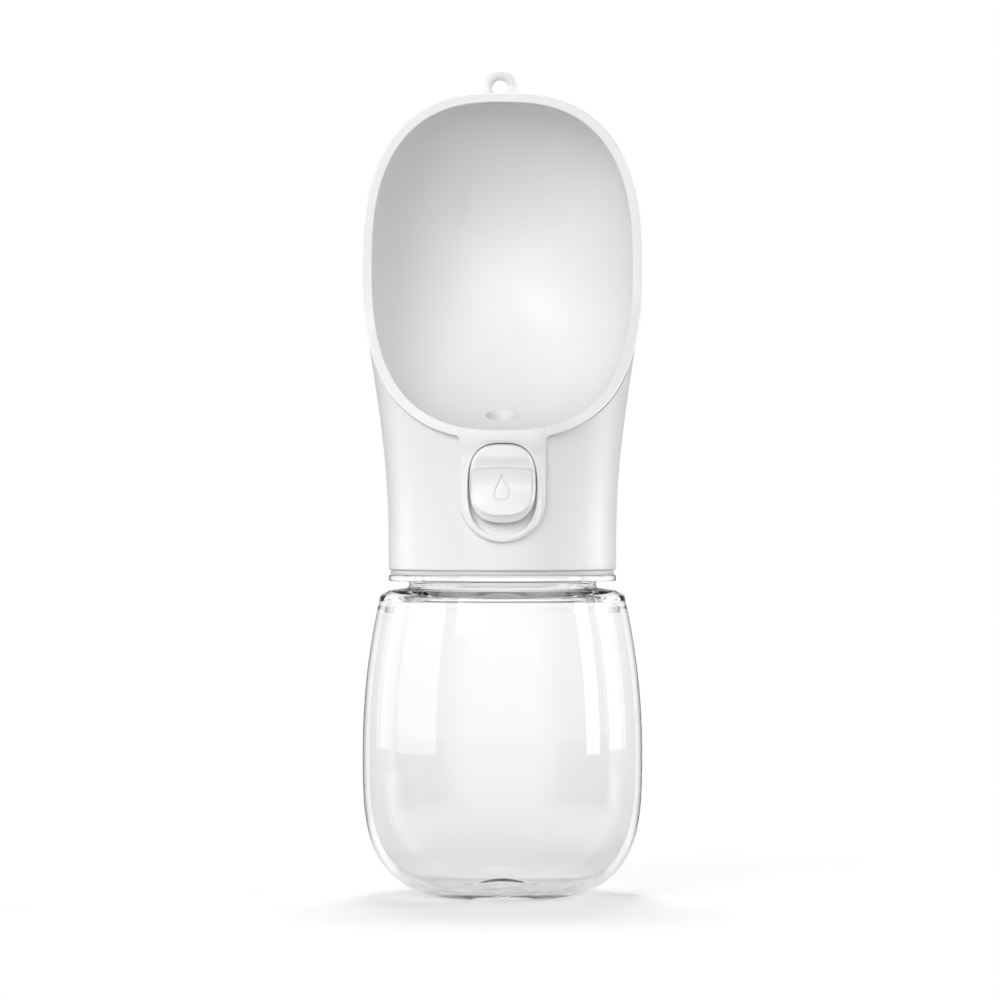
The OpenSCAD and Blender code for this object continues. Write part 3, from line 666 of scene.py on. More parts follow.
valve_stem = turned("valve_stem_pin", soft_corners([
    (0, cam_top, 0), (cam_r, cam_top, 0.3), (cam_r, clip_top, 0.25), (stem_r, clip_top, 0.15),
    (stem_r, disc_top + 1, 0.35), (stem_collar_r, disc_top + 1, 0.25), (stem_collar_r, disc_top, 0.15),
    (stem_r, disc_top, 0.1), (stem_r, stem_low, 0.2), (screw_hole_r, stem_low, 0.1),
    (screw_hole_r, disc_top + 2, 0), (0, disc_top + 2, 0)]), 96)
softened(cut(valve_stem, above_slope("slope_cutter", slope_z, 1)), 40)
dress(valve_stem, inner_plastic)
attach(valve_stem, "valve")
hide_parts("valve_stem")


# ---- Valve disc ----
# A thick, soft disc of grey silicone, pushed onto the stem up to its collar. It closes against the raised
# lip under the partition.
disc_gap = 0.02
valve_disc = ring("valve_disc_pad", stem_r + disc_gap, 8.4, disc_low, disc_top, (0.1, 0.6, 0.45, 0.1))
dress(valve_disc, grey_silicone)
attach(valve_disc, "valve")
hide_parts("valve_disc")


# ---- Disc retainer ----
# A small moulded washer with a bevelled foot. The screw draws it up, and it holds the disc against the
# stem's collar.
disc_retainer = turned("disc_retainer_washer", soft_corners([
    (stem_r + disc_gap, 100, 0), (stem_r + disc_gap, stem_low, 0.1), (4.6, stem_low, 0.4), (5.5, 99.9, 0.3),
    (5.5, disc_low, 0.15), (stem_r + disc_gap, disc_low, 0.1), (stem_r + disc_gap, 100, 0)]), 96)
dress(disc_retainer, inner_plastic)
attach(disc_retainer, "valve")
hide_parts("disc_retainer")


# ---- Disc screw ----
# A small pan-head screw of stainless steel with a cross recess. It cuts its own thread in the stem and
# clamps the disc.
def pan_screw(name, head_r, head_h, shank_r, shank_l):
    """A screw with its head below the origin and its shank pointing up."""
    core_r, pitch, tip = shank_r - 0.1, 0.55, 0.6
    piece = turned(name, soft_corners([
        (0, -head_h, 0), (head_r * 0.62, -head_h, head_h * 0.3), (head_r, -head_h * 0.35, head_h * 0.25),
        (head_r, 0, 0.08), (core_r, 0, 0.05), (core_r, shank_l - tip, 0.2), (0.15, shank_l, 0),
        (0, shank_l, 0)], 4), 48)
    for k in range(2):
        wide, deep = head_r * (0.55 if k else 0.12), head_r * (0.12 if k else 0.55)
        low, high = -head_h - 1, -head_h * 0.45
        outline = [(wide, high), (-wide, high), (-wide, low), (wide, low)]
        cut(piece, slab("recess_cutter", outline, -deep, deep))
    softened(piece, 35)
    turns = (shank_l - 1.1) / pitch
    return joined(piece, screw_ridge("screw_thread", core_r, 0.35, pitch, turns, 0, 0.2, 0.34))


disc_screw = settled(pan_screw("disc_screw_body", 3.0, 1.3, 0.88, 5.0), 0, (0, 0, stem_low))
screw_steel = steel("screw_steel", (0.5, 0.5, 0.51), 0.3, (1, 1, 1), 1800)
dress(disc_screw, screw_steel)
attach(disc_screw, "valve")
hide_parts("disc_screw")


# ---- Push rod ----
# A moulded rod that carries the button's push to the valve. Its plate stays in touch with the button's
# stem when the button is slid down, and its tip is cut off at 45 degrees.
rod_head_front, rod_head_back = -24.4, -22.9


def rounded(width, height, corner, z, steps=8):
    """Outline (x, z) of a plate with round corners, about height z."""
    line = []
    for side, level, first in ((1, 1, 0), (-1, 1, 0.5), (-1, -1, 1), (1, -1, 1.5)):
        for k in range(steps + 1):
            turn = math.pi * (first + 0.5 * k / steps)
            line.append((side * (width / 2 - corner) + corner * math.cos(turn),
                         z + level * (height / 2 - corner) + corner * math.sin(turn)))
    return line


def eased(piece, width):
    """Small soft edges all round."""
    modifier = piece.modifiers.new("soft_edges", "BEVEL")
    modifier.width, modifier.segments, modifier.limit_method = width * mm, 3, "ANGLE"
    modifier.angle_limit = math.radians(50)
    bpy.ops.object.select_all(action="DESELECT")
    bpy.context.view_layer.objects.active = piece
    piece.select_set(True)
    bpy.ops.object.modifier_apply(modifier=modifier.name)
    return piece


push_rod = laid(turned("push_rod_bar", soft_corners([
    (0, -23.6, 0), (rod_r, -23.6, 0.1), (rod_r, 6, 0.2), (0, 6, 0)]), 64), rod_z)
united(push_rod, eased(slab("rod_plate", rounded(9, 12, 3, rod_z - 1.4), rod_head_front, rod_head_back), 0.3))
softened(cut(push_rod, above_slope("tip_cutter", slope_z + 0.1, -1)), 40)
dress(push_rod, inner_plastic)
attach(push_rod, "rod")
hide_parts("push_rod")


# ---- Rod seal ----
# A ring of black rubber, rolled into the gland of the boss, keeps the water from running out along the
# rod.
bpy.ops.object.select_all(action="DESELECT")
bpy.ops.mesh.primitive_torus_add(major_segments=96, minor_segments=24, major_radius=3.27 * mm,
                                 minor_radius=0.75 * mm)
rod_seal = settled(bpy.context.object, math.pi / 2, (0, -15.2, rod_z))
rod_seal.name = rod_seal.data.name = "rod_seal_ring"
softened(rod_seal, 60)
dress(rod_seal, moulded("dark_rubber", (0.02, 0.02, 0.021), 0.5, 1200, 0.2, 0.15, 0.1))
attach(rod_seal, "head")
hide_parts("rod_seal")


# ---- Seal retainer ----
# A thin moulded ring, pressed into the mouth of the gland so that the rubber ring stays in when the rod
# moves.
seal_retainer = ring("seal_retainer_ring", 2.8, 4.03, boss_front, -16.1, (0.2, 0.15, 0.15, 0.15), 64)
laid(seal_retainer, rod_z)
dress(seal_retainer, inner_plastic)
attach(seal_retainer, "head")
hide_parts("seal_retainer")


# ---- Head shell ----
# The shell is one white moulding: a round skirt that flares into the drinking scoop, with a chamber
# for the valve under the scoop's floor and the carrying eye on top.
rim_low, scoop_h, scoop_r = 37.3, 100.9, 40.5
rim_z = seat_z + rim_low
scoop_mid, scoop_top = rim_z + scoop_h / 2, rim_z + scoop_h
skirt_r, skirt_wall = 33.0, 2.2
outline_n = 2.6
rim_w, rim_seat = 2.75, 1.0
flare_z, bulge_z, bulge_reach = 100, 170, 5
chin_y, chin_h, dish_y = 34.9, 46.3, 34.8


def smooth(u):
    return u * u * (3 - 2 * u)


def square_cos(a, n):
    """Cosine of a squarish round of exponent n."""
    return math.copysign(abs(math.cos(a)) ** (2 / n), math.cos(a))


def square_sin(a, n):
    """Sine of a squarish round of exponent n."""
    return math.copysign(abs(math.sin(a)) ** (2 / n), math.sin(a))


def body_half(z):
    """Half width of the body at height z."""
    if z >= scoop_mid:
        return scoop_r * arch((z - scoop_mid) / (scoop_h / 2), outline_n)
    return skirt_r + (scoop_r - skirt_r) * smooth(clamp01((z - flare_z) / (scoop_mid - flare_z)) ** 1.25)


def body_back(z):
    """Reach of the body behind the axis at height z."""
    if z <= bulge_z:
        return skirt_r + bulge_reach * smooth(clamp01((z - flare_z) / (bulge_z - flare_z)))
    return (skirt_r + bulge_reach) * arch((z - bulge_z) / (scoop_top - bulge_z), 2.4)


def edge_y(z):
    """Side view of the scoop's edge."""
    return -chin_y * clamp01(1 - (z - rim_z) / chin_h) ** 2.15


def rim_x(a, inset):
    return (scoop_r - inset) * square_cos(a, outline_n)


def rim_height(a, inset):
    return scoop_mid + (scoop_h / 2 - inset) * square_sin(a, outline_n)


def body_point(z, turn):
    """Point of the outer surface at height z and angle turn round the axis."""
    w, b = body_half(z), body_back(z)
    n = 2 + 0.3 * smooth(clamp01((z - 120) / 60))
    if math.sin(turn) > 0:
        return Vector((w * square_cos(turn, n), b * square_sin(turn, n), z))
    return Vector((w * math.cos(turn), min(w, b) * math.sin(turn), z))


def cut_level(a):
    """Level and turn at which the outer surface ends behind the rim, at angle a round the rim."""
    z = rim_height(a, 0)
    y = edge_y(z) + rim_seat
    z = min(z, scoop_top - 0.02)
    w, b = body_half(z), body_back(z)
    if math.sin(a) > 0.999:
        return z, math.pi / 2
    depth = b if y > 0 else min(w, b)
    turn = math.asin(max(-1.0, min(1.0, y / max(depth, abs(y), 1e-6))))
    return z, (turn if math.cos(a) >= 0 else math.pi - turn)


def dome_level(z):
    """Height as an even measure: below the scoop's middle in millimetres, above it along the dome's arc."""
    if z <= scoop_mid:
        return z - scoop_mid
    return 80 * math.asin(clamp01((z - scoop_mid) / (scoop_h / 2)) ** (outline_n / 2)) / (math.pi / 2)


def level_height(level):
    if level <= 0:
        return scoop_mid + level
    return scoop_mid + scoop_h / 2 * square_sin(math.pi / 2 * level / 80, outline_n)


shell_around, outer_rows, dish_rows = 256, 110, 60
roof_tilt = math.tan(math.radians(10.2))
outlet_boss_r, outlet_boss_z = 8.3, 136.0


def roof_z(y):
    return rim_z - 0.4 + (y + skirt_r - skirt_wall) * roof_tilt


def shell_section(a):
    """From the chamber's roof down inside, round the skirt's foot, up outside and into the dish."""
    ca, sa = math.cos(a), math.sin(a)
    boss_x, boss_y = outlet_boss_r * ca, outlet_boss_r * sa
    row = [(0, 0, outlet_boss_z), (boss_x, boss_y, outlet_boss_z), (boss_x, boss_y, roof_z(boss_y))]
    wall_r = body_half(130) - skirt_wall
    top = roof_z(wall_r * sa)
    row.append((wall_r * ca, wall_r * sa, top))
    for k in range(1, 12):
        z = top + (seat_z + 1 - top) * k / 11
        r = body_half(z) - skirt_wall
        row.append((r * ca, r * sa, z))
    for r, z in ((skirt_r - skirt_wall, seat_z + 0.3), (skirt_r - skirt_wall + 0.3, seat_z)):
        row.append((r * ca, r * sa, z))
    for k in range(5):
        turn = math.pi / 2 * k / 4
        r, z = skirt_r - 0.5 + 0.5 * math.sin(turn), seat_z + 0.5 - 0.5 * math.cos(turn)
        row.append((r * ca, r * sa, z))
    z_end, turn_end = cut_level(a)
    turn_start = a if a <= math.pi * 1.5 else a - math.tau
    turn_start = turn_start if turn_start >= -math.pi / 2 else turn_start + math.tau
    low, high = dome_level(seat_z + 0.5), dome_level(z_end)
    for k in range(1, outer_rows + 1):
        t = k / outer_rows
        level = low + (high - low) * t
        turn = turn_start + (turn_end - turn_start) * smooth(t)
        row.append(tuple(body_point(level_height(level), turn)))
    for k in range(dish_rows + 1):
        b = math.radians(90) * k / dish_rows
        keep = square_cos(b, 2.1)
        x, z = rim_x(a, rim_w), rim_height(a, rim_w)
        y = edge_y(z) + rim_seat + 0.5
        row.append((x * keep, y + (dish_y - y) * square_sin(b, 2.1), scoop_mid + (z - scoop_mid) * keep))
    return row


def round_rim(steps):
    """Angles once round, starting at the front."""
    return [-math.pi / 2 + math.tau * k / steps for k in range(steps)]


head = lofted("head_shell_body", [shell_section(a) for a in round_rim(shell_around)])


outlet_r = 4.9
housing_w, housing_low, housing_top, housing_corner = 22.5, 103.2, 132.3, 10.05


def arch_outline(width, low, high, corner, steps=12):
    """A plate outline with a square top and round lower corners."""
    line = [(width / 2, high), (-width / 2, high)]
    for side, first in ((-1, math.pi), (1, math.pi * 1.5)):
        for k in range(steps + 1):
            turn = first + math.pi / 2 * k / steps
            x = side * (width / 2 - corner) + corner * math.cos(turn)
            line.append((x, low + corner + corner * math.sin(turn)))
    return line


window_outline = arch_outline(housing_w + 0.2, housing_low - 0.1, housing_top + 0.1, housing_corner + 0.1)
window = slab("window_cutter", window_outline, -50, -27.8)
softened(cut(head, cylinder("outlet_cutter", outlet_r, 130, 160), window))

# the carrying eye: a round bar that flares into the rim at both feet
eye_x, eye_y, eye_bend, eye_bar = -0.7, 3.875, 3.675, 1.475
eye_foot_z, eye_arch_z = scoop_top - 1.2, scoop_top + 1.75


def bar_step(rise, grow, z):
    bpy.ops.mesh.extrude_region_move(TRANSFORM_OT_translate={"value": (0, 0, rise * mm)})
    bpy.ops.transform.resize(value=(grow, grow, 1), center_override=(eye_side * mm, eye_y * mm, z * mm))


eye_side = eye_x + eye_bend
flare = [(0.0, 1.3), (0.9, 0.85), (1.5, 0.45), (2.0, 0.18), (2.5, 0.04), (2.95, 0.0)]
bpy.ops.object.select_all(action="DESELECT")
bpy.ops.mesh.primitive_circle_add(vertices=32, radius=(eye_bar + flare[0][1]) * mm,
                                  location=(eye_side * mm, eye_y * mm, eye_foot_z * mm), fill_type="NGON")
eye = bpy.context.object
bpy.ops.object.transform_apply()
bpy.ops.object.mode_set(mode="EDIT")
bpy.ops.mesh.select_all(action="SELECT")
for (low, wide), (high, slim) in zip(flare, flare[1:]):
    bar_step(high - low, (eye_bar + slim) / (eye_bar + wide), eye_foot_z + high)
bpy.ops.mesh.spin(steps=28, angle=math.pi, center=(eye_x * mm, eye_y * mm, eye_arch_z * mm), axis=(0, 1, 0))
eye_side = eye_x - eye_bend
for (high, slim), (low, wide) in zip(flare[::-1], flare[-2::-1]):
    bar_step(low - high, (eye_bar + wide) / (eye_bar + slim), eye_foot_z + low)
bpy.ops.mesh.select_all(action="SELECT")
bpy.ops.mesh.remove_doubles(threshold=0.001 * mm)
bpy.ops.mesh.normals_make_consistent(inside=False)
bpy.ops.object.mode_set(mode="OBJECT")
softened(eye)
joined(head, eye)

white_plastic = moulded("white_plastic", (0.83, 0.83, 0.825), 0.4, 1400, 0.05, 0.08, 0.0)
dress(head, white_plastic)
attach(head, "head")
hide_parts("head_shell")


# ---- Front frame ----
# One white moulding: the raised rim round the scoop, the tongue that grows out
# of its lower edge, and the pocket that the button works in. The rim band is painted a little darker and
# cooler than the tongue, as painted shade. It snaps onto the head shell.
tongue_r, tongue_low, tongue_fillet = 12.25, 102.5, 1.7
tongue_foot_z, tongue_h = 100.5, 33.2
rim_proud, rim_lap, tongue_proud = 1.2, 0.88, 1.8
button_w, button_h, button_z = 18.8, 22.3, 119.3
button_gap, lock_travel = 0.35, 3.1
pocket_w, pocket_h = button_w + 2 * button_gap, button_h + lock_travel + 2 * button_gap
pocket_z, pocket_floor, floor_t = button_z - lock_travel / 2, -31.0, 1.6


def rim_out(a):
    """Outline point of the rim and its outward direction, in the front view."""
    here = Vector((rim_x(a, 0), rim_height(a, 0)))
    near = Vector((rim_x(a + 1e-4, 0), rim_height(a + 1e-4, 0))) - here
    return here, Vector((near.y, -near.x)).normalized()


low_a, high_a = -math.pi / 2 + 1e-3, -math.pi / 4
for _ in range(50):
    join_a = (low_a + high_a) / 2
    here, out = rim_out(join_a)
    if (here + out * tongue_fillet).x < tongue_r + tongue_fillet:
        low_a = join_a
    else:
        high_a = join_a
fillet_centre = here + out * tongue_fillet
tongue_centre = Vector((0, tongue_low + tongue_r))


def tongue_edge(q):
    """Outline of the tongue from its lowest point, q 0, up its right side to the rim, q 1."""
    round_part = tongue_r * math.pi / 2
    straight = fillet_centre.y - tongue_centre.y
    fillet_turn = math.pi - math.atan2(-out.y, -out.x)
    s = q * (round_part + straight + tongue_fillet * fillet_turn)
    if s < round_part:
        turn = s / tongue_r
        return tongue_centre + Vector((math.sin(turn), -math.cos(turn))) * tongue_r
    if s < round_part + straight:
        return tongue_centre + Vector((tongue_r, s - round_part))
    turn = math.pi - (s - round_part - straight) / tongue_fillet
    return fillet_centre + Vector((math.cos(turn), math.sin(turn))) * tongue_fillet


def tongue_y(x, z, proud):
    """Depth of a round surface that stands proud of the skirt."""
    r = body_half(z) + 0.1
    if proud:
        climb = clamp01((z - tongue_foot_z) / tongue_h)
        r = skirt_r + proud + (chin_y + rim_proud - skirt_r - tongue_proud) * climb
    return -math.sqrt(max(0.0, r * r - x * x))


def below_rim(x, z):
    """0 on the rim band, 1 well below it on the tongue."""
    return smooth(clamp01((scoop_mid - scoop_h / 2 * arch(x / scoop_r, outline_n) - z + 0.8) / 6))


def frame_row(inner, outer, band_y, back_in, back_out, soft, on_tongue):
    """Cross-section from the scoop's opening out to the frame's edge, round it and back."""
    lip, arc, front_steps, back_steps = 0.35, 6, 44, 12
    way = (outer - inner).normalized()
    row = [(inner.x, back_in, inner.y)]

    def front_y(point):
        if not on_tongue:
            return band_y
        w = below_rim(point.x, point.y)
        return band_y * (1 - w) + tongue_y(point.x, point.y, tongue_proud) * w

    for k in range(arc + 1):
        turn = math.pi / 2 * k / arc
        point = inner + way * lip * (1 - math.cos(turn))
        row.append((point.x, front_y(point) + lip * (1 - math.sin(turn)), point.y))
    span = (outer - inner).length
    for k in range(1, front_steps):
        point = inner + way * (lip + (span - lip - soft) * k / front_steps)
        row.append((point.x, front_y(point), point.y))
    for k in range(arc + 1):
        turn = math.pi / 2 * k / arc
        point = outer - way * soft * (1 - math.sin(turn))
        row.append((point.x, front_y(point) + soft * (1 - math.cos(turn)), point.y))
    row.append((outer.x, back_out, outer.y))
    for k in range(1, back_steps):
        point = outer + (inner - outer) * k / back_steps
        w = below_rim(point.x, point.y) if on_tongue else 0
        flat = back_out + (back_in - back_out) * k / back_steps
        row.append((point.x, flat * (1 - w) + tongue_y(point.x, point.y, 0) * w, point.y))
    row.append((inner.x, back_in, inner.y))
    return row


tongue_rows, band_rows = 84, 300
half = []
for k in range(tongue_rows + 1):
    q = k / tongue_rows
    a = -math.pi / 2 + (join_a + math.pi / 2) * q
    inner = Vector((rim_x(a, rim_w), rim_height(a, rim_w)))
    outer = tongue_edge(q)
    w = below_rim(outer.x, outer.y)
    band = edge_y(rim_height(a, 0))
    back_out = tongue_y(outer.x, outer.y, 0) * w + (band + rim_lap) * (1 - w)
    half.append(frame_row(inner, outer, band - rim_proud, edge_y(inner.y) + rim_lap, back_out,
                          0.9 - 0.35 * smooth(q), True))
rows = list(half)
for k in range(1, band_rows):
    a = join_a + (math.pi - 2 * join_a) * k / band_rows
    inner, outer = Vector((rim_x(a, rim_w), rim_height(a, rim_w))), Vector((rim_x(a, 0), rim_height(a, 0)))
    rows.append(frame_row(inner, outer, edge_y(outer.y) - rim_proud, edge_y(inner.y) + rim_lap,
                          edge_y(outer.y) + rim_lap, 0.55, False))
rows += [[(-x, y, z) for x, y, z in row] for row in reversed(half[1:])]
front = lofted("front_frame_body", rows)


def egg(turn, half_w, half_h, centre_z, inset=0.0, low_extra=0.0):
    """Outline of the button or its opening: a squarish oval, rounder below than above."""
    n = 2.8 if math.sin(turn) > 0 else 2.6
    tall = half_h - inset - (low_extra if math.sin(turn) < 0 else 0)
    return (half_w - inset) * square_cos(turn, n), centre_z + tall * square_sin(turn, n)


def opening_section(turn):
    """Wall of the pocket's opening, with the soft edge at its mouth."""
    x0, z0 = egg(turn, pocket_w / 2, pocket_h / 2, pocket_z)
    row = [(0, pocket_floor, pocket_z), (x0, pocket_floor, z0), (x0, -33.0, z0)]
    mouth = tongue_y(x0, z0, tongue_proud)
    soft = 0.7
    for k in range(7):
        lean = math.radians(66) * k / 6
        x, z = egg(turn, pocket_w / 2, pocket_h / 2, pocket_z, -soft * (1 - math.cos(lean)))
        row.append((x, mouth + soft - soft * math.sin(lean), z))
    x, z = egg(turn, pocket_w / 2, pocket_h / 2, pocket_z, -2.2)
    row.append((x, mouth - soft, z))
    row.append((x, -45, z))
    row.append((0, -45, pocket_z))
    return row


front = united(front, slab("pocket_walls", arch_outline(housing_w, housing_low, housing_top, housing_corner),
                           pocket_floor + floor_t, -33.8))
slot = [egg(math.tau * k / 72, 6.5, 8.05, pocket_z) for k in range(72)]
front = cut(front, lofted("opening_cutter", [opening_section(math.tau * k / 160) for k in range(160)]),
            slab("slot_cutter", slot, -40, -20))
softened(front, 40)
rail_outline = [(11.25, 131.7), (8.35, 131.7), (8.35, 113.25), (11.25, 113.25)]
screw_x, screw_z, guide_front, guide_back = 4.6, 128.7, -27.2, -25.7
rail_front = pocket_floor + floor_t - 0.05
boss_line = [(0.9, rail_front), (1.9, rail_front), (1.9, guide_front), (0.9, guide_front), (0.9, rail_front)]
for side in (-1, 1):
    rail = slab(f"rail_{side}", [(side * x, z) for x, z in rail_outline], rail_front, guide_front)
    screw_boss = laid(turned(f"screw_boss_{side}", boss_line, 32), screw_z, side * screw_x)
    joined(front, rail, screw_boss)


def frame_painted_shade(n, links):
    """Painted shade: the rim band, inside the scoop's outline, is painted a little darker and cooler than the
    tongue.
    """
    place, split = n.new("ShaderNodeTexCoord"), n.new("ShaderNodeSeparateXYZ")
    links.new(place.outputs["Object"], split.inputs["Vector"])
    powers = []
    for axis, middle, half in (("X", 0, scoop_r * mm), ("Z", scoop_mid * mm, scoop_h / 2 * mm)):
        shifted, size, power = (n.new("ShaderNodeMath") for _ in range(3))
        shifted.operation, size.operation, power.operation = "SUBTRACT", "ABSOLUTE", "POWER"
        links.new(split.outputs[axis], shifted.inputs[0])
        shifted.inputs[1].default_value = middle
        links.new(shifted.outputs[0], size.inputs[0])
        part = n.new("ShaderNodeMath")
        part.operation = "DIVIDE"
        part.inputs[1].default_value = half
        links.new(size.outputs[0], part.inputs[0])
        links.new(part.outputs[0], power.inputs[0])
        power.inputs[1].default_value = outline_n
        powers.append(power.outputs[0])
    total, level, mix = n.new("ShaderNodeMath"), n.new("ShaderNodeMapRange"), n.new("ShaderNodeMix")
    links.new(powers[0], total.inputs[0])
    links.new(powers[1], total.inputs[1])
    links.new(total.outputs[0], level.inputs["Value"])
    level.inputs["From Min"].default_value = 0.98
    level.inputs["From Max"].default_value = 1.05
    mix.data_type = "RGBA"
    # painted shade on the rim band (A), plain white on the tongue (B)
    mix.inputs["A"].default_value = (0.86, 0.845, 0.86, 1)
    mix.inputs["B"].default_value = (0.88, 0.88, 0.88, 1)
    links.new(level.outputs["Result"], mix.inputs["Factor"])
    return mix.outputs["Result"]


dress(front, moulded("frame_plastic", (0.8, 0.8, 0.8), 0.3, 1500, 0.05, 0.08, 0.012, frame_painted_shade))
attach(front, "head")
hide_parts("front_frame")


# ---- Lock slider ----
# A grey carriage behind the pocket's floor. Its round collar reaches through the slot and holds the
# button's stem, so that the two slide down together. Two dimples behind catch the detent pin.
slider_front, slider_back, slider_half = -29.1, -27.5, 8.2
stem_bore_r, spring_room_r, spring_back, pin_x = 4.05, 5.4, -28.6, 7
slider_outline = rounded(2 * slider_half, 13.8, 0.8, button_z)
lock_slider = eased(slab("lock_slider_plate", slider_outline, slider_front, slider_back), 0.2)
slider_collar = bar("slider_collar", 6.2, pocket_floor + 0.1, slider_front + 0.5, button_z, 0, 96)
united(lock_slider, eased(slider_collar, 0.2))
cut(lock_slider, bar("stem_cutter", stem_bore_r, -40, -20, button_z, 0, 96),
    bar("spring_cutter", spring_room_r, -40, spring_back, button_z, 0, 96))
dimple = [(0, slider_back - 0.35), (0.5, slider_back - 0.28), (1.2, slider_back + 0.3),
          (0, slider_back + 0.3)]
for rise in (0, lock_travel):
    cut(lock_slider, laid(turned("dimple_cutter", dimple, 32), button_z + rise, pin_x))
softened(lock_slider, 40)
slider_plastic = moulded("slider_plastic", (0.46, 0.47, 0.49), 0.36, 1300, 0.12, 0.1, 0.04)
dress(lock_slider, slider_plastic)
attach(lock_slider, "lock")
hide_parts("lock_slider")


# ---- Button spring ----
# A wide coil of stainless wire round the button's stem, between the carriage and the cap. It pushes the
# button out, and goes down with it when the button is locked.
spring_front, button_travel = -34.9, 3
button_spring = laid(coiled("button_spring_coil", 4.7, 0.3, spring_front, spring_back, 3.5), button_z)
dress(button_spring, spring_steel)
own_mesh(button_spring)
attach(button_spring, "lock")
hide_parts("button_spring")


# ---- Button ----
# The thumb button is a small white cap. A ridge along its top slopes down to a step, and the hollow
# under it runs out at the bottom. A plain water drop is sunk into the hollow.
drop_z, drop_r, drop_width, drop_depth = -1.7, 2.6, 0.24, 0.5
button_face, button_side, button_back = -37.3, -35.4, -34.2
drop_line = []
for k in range(160):
    t = math.tau * k / 160
    across = drop_r * 1.15 * math.sin(t) * abs(math.sin(t / 2)) ** 1.6
    drop_line.append(Vector((across, 0.3 + 1.35 * drop_r * math.cos(t))))


def face_y(x, z):
    """Depth of the button's face at x, and at z above its centre."""
    crest, step = 7.7 + 0.7 * (x / 8) ** 2, 4.6 - 0.6 * (x / 8) ** 2
    slope = smooth(clamp01((crest - z) / (crest - step - 0.3)))
    ledge = smooth(clamp01((step + 0.1 - z) / 0.45))
    y = button_face + x * x / 130 + 0.6 * slope + 0.35 * ledge
    if z < step:
        y += 0.85 * math.sin(math.pi * clamp01((step - z) / 10.5)) - 0.9 * clamp01((step - z) / 13.5)
    away = 9
    if abs(x) < 4 and abs(z - drop_z) < 5:
        away = min((Vector((x, z - drop_z)) - point).length for point in drop_line)
    return y + drop_depth * math.exp(-(away / drop_width) ** 2)


def button_section(turn):
    """From the stem's end into the spring's pocket, out to the side, over the soft edge and the face."""
    row = [(0, -24.5, button_z)]
    for r, y in ((3.6, -24.5), (4.0, -24.9), (4.0, spring_front), (spring_room_r, spring_front),
                 (spring_room_r, button_back)):
        row.append((r * math.cos(turn), y, button_z + r * math.sin(turn)))
    x0, z0 = egg(turn, button_w / 2, button_h / 2, button_z)
    row += [(x0, button_back, z0), (x0, button_side, z0)]
    low = clamp01(-math.sin(turn)) ** 1.5
    draft = (0.55 + 0.25 * clamp01(math.cos(turn))) * (1 - 0.4 * clamp01(math.sin(turn)))
    x1, z1 = egg(turn, button_w / 2, button_h / 2, button_z, draft, 1.3 * low)
    top = face_y(x1, z1 - button_z)
    soft = 0.55
    for k in range(1, 4):
        t = k / 4
        row.append((x0 + (x1 - x0) * t, button_side + (top + soft - button_side) * t, z0 + (z1 - z0) * t))
    inward = (Vector((0, button_z + drop_z)) - Vector((x1, z1))).normalized()
    for k in range(7):
        lean = math.pi / 2 * k / 6
        point = Vector((x1, z1)) + inward * soft * (1 - math.cos(lean))
        row.append((point.x, face_y(point.x, point.y - button_z) + soft * (1 - math.sin(lean)), point.y))
    edge = Vector((x1, z1)) + inward * soft
    for k in range(1, 61):
        point = edge + (Vector((0, button_z + drop_z)) - edge) * k / 60
        row.append((point.x, face_y(point.x, point.y - button_z), point.y))
    return row


button = lofted("button_cap_body", [button_section(math.tau * k / 224) for k in range(224)])
dress(button, moulded("button_plastic", (0.87, 0.87, 0.87), 0.32, 1800, 0.08, 0.08, 0.012))
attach(button, "button")
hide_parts("button_cap")


# ---- Slider guide ----
# A grey plate that closes the housing from behind and leads the carriage. The detent's pin works in its
# round boss. Two screws hold it to the frame.
guide_outline = rounded(21.9, 24.0, 1.0, 119.1)
pin_room_end = -21.3
slider_guide = eased(slab("slider_guide_plate", guide_outline, guide_front, guide_back), 0.2)
united(slider_guide, eased(bar("pin_boss", 2.2, guide_front + 0.5, -20.5, button_z, pin_x, 48), 0.2))
cut(slider_guide, slab("stem_slot", rounded(9, 12.1, 4, pocket_z), -30, -24),
    *[bar("screw_cutter", 1.1, -30, -24, screw_z, side * screw_x, 32) for side in (-1, 1)],
    bar("pin_cutter", 1.05, -30, pin_room_end, button_z, pin_x, 32))
softened(slider_guide, 40)
dress(slider_guide, slider_plastic)
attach(slider_guide, "head")
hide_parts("slider_guide")


# ---- Guide screws ----
# Two small pan-head screws of stainless steel go through the guide from behind, into the bosses of the
# frame.
guide_screws = joined(*[settled(pan_screw(f"guide_screw_{side}", 1.7, 1.1, 0.88, 3.4), math.pi / 2,
                                (side * screw_x, guide_back, screw_z)) for side in (-1, 1)])
dress(guide_screws, screw_steel)
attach(guide_screws, "head")
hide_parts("guide_screws")


# ---- Detent pin ----
# A short turned steel pin with a domed tip. It drops into the carriage's dimples, so that the lock clicks
# at both ends.
pin_back = -24.05
detent_pin = laid(turned("detent_pin_rod", soft_corners([
    (0, -27.45, 0), (0.4, -27.45, 0.15), (1.0, -26.95, 0.3), (1.0, pin_back, 0.15), (0, pin_back, 0)]), 48),
    button_z, pin_x)
dress(detent_pin, screw_steel)
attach(detent_pin, "head")
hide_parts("detent_pin")


# ---- Detent spring ----
# A tiny coil of stainless wire in the guide's boss. It stands behind the pin and presses it against the
# carriage.
detent_spring = laid(coiled("detent_spring_coil", 0.7, 0.2, pin_back, pin_room_end, 4), button_z, pin_x)
dress(detent_spring, spring_steel)
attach(detent_spring, "head")
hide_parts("detent_spring")


# ---- Stage ----
# A plain white floor, a white surround and soft studio lamps, with the camera level in front. The floor
# is lit near the bottle, so that it keeps the shadow, and glows white further out.
scene = bpy.context.scene
scene.view_settings.view_transform = "Standard"


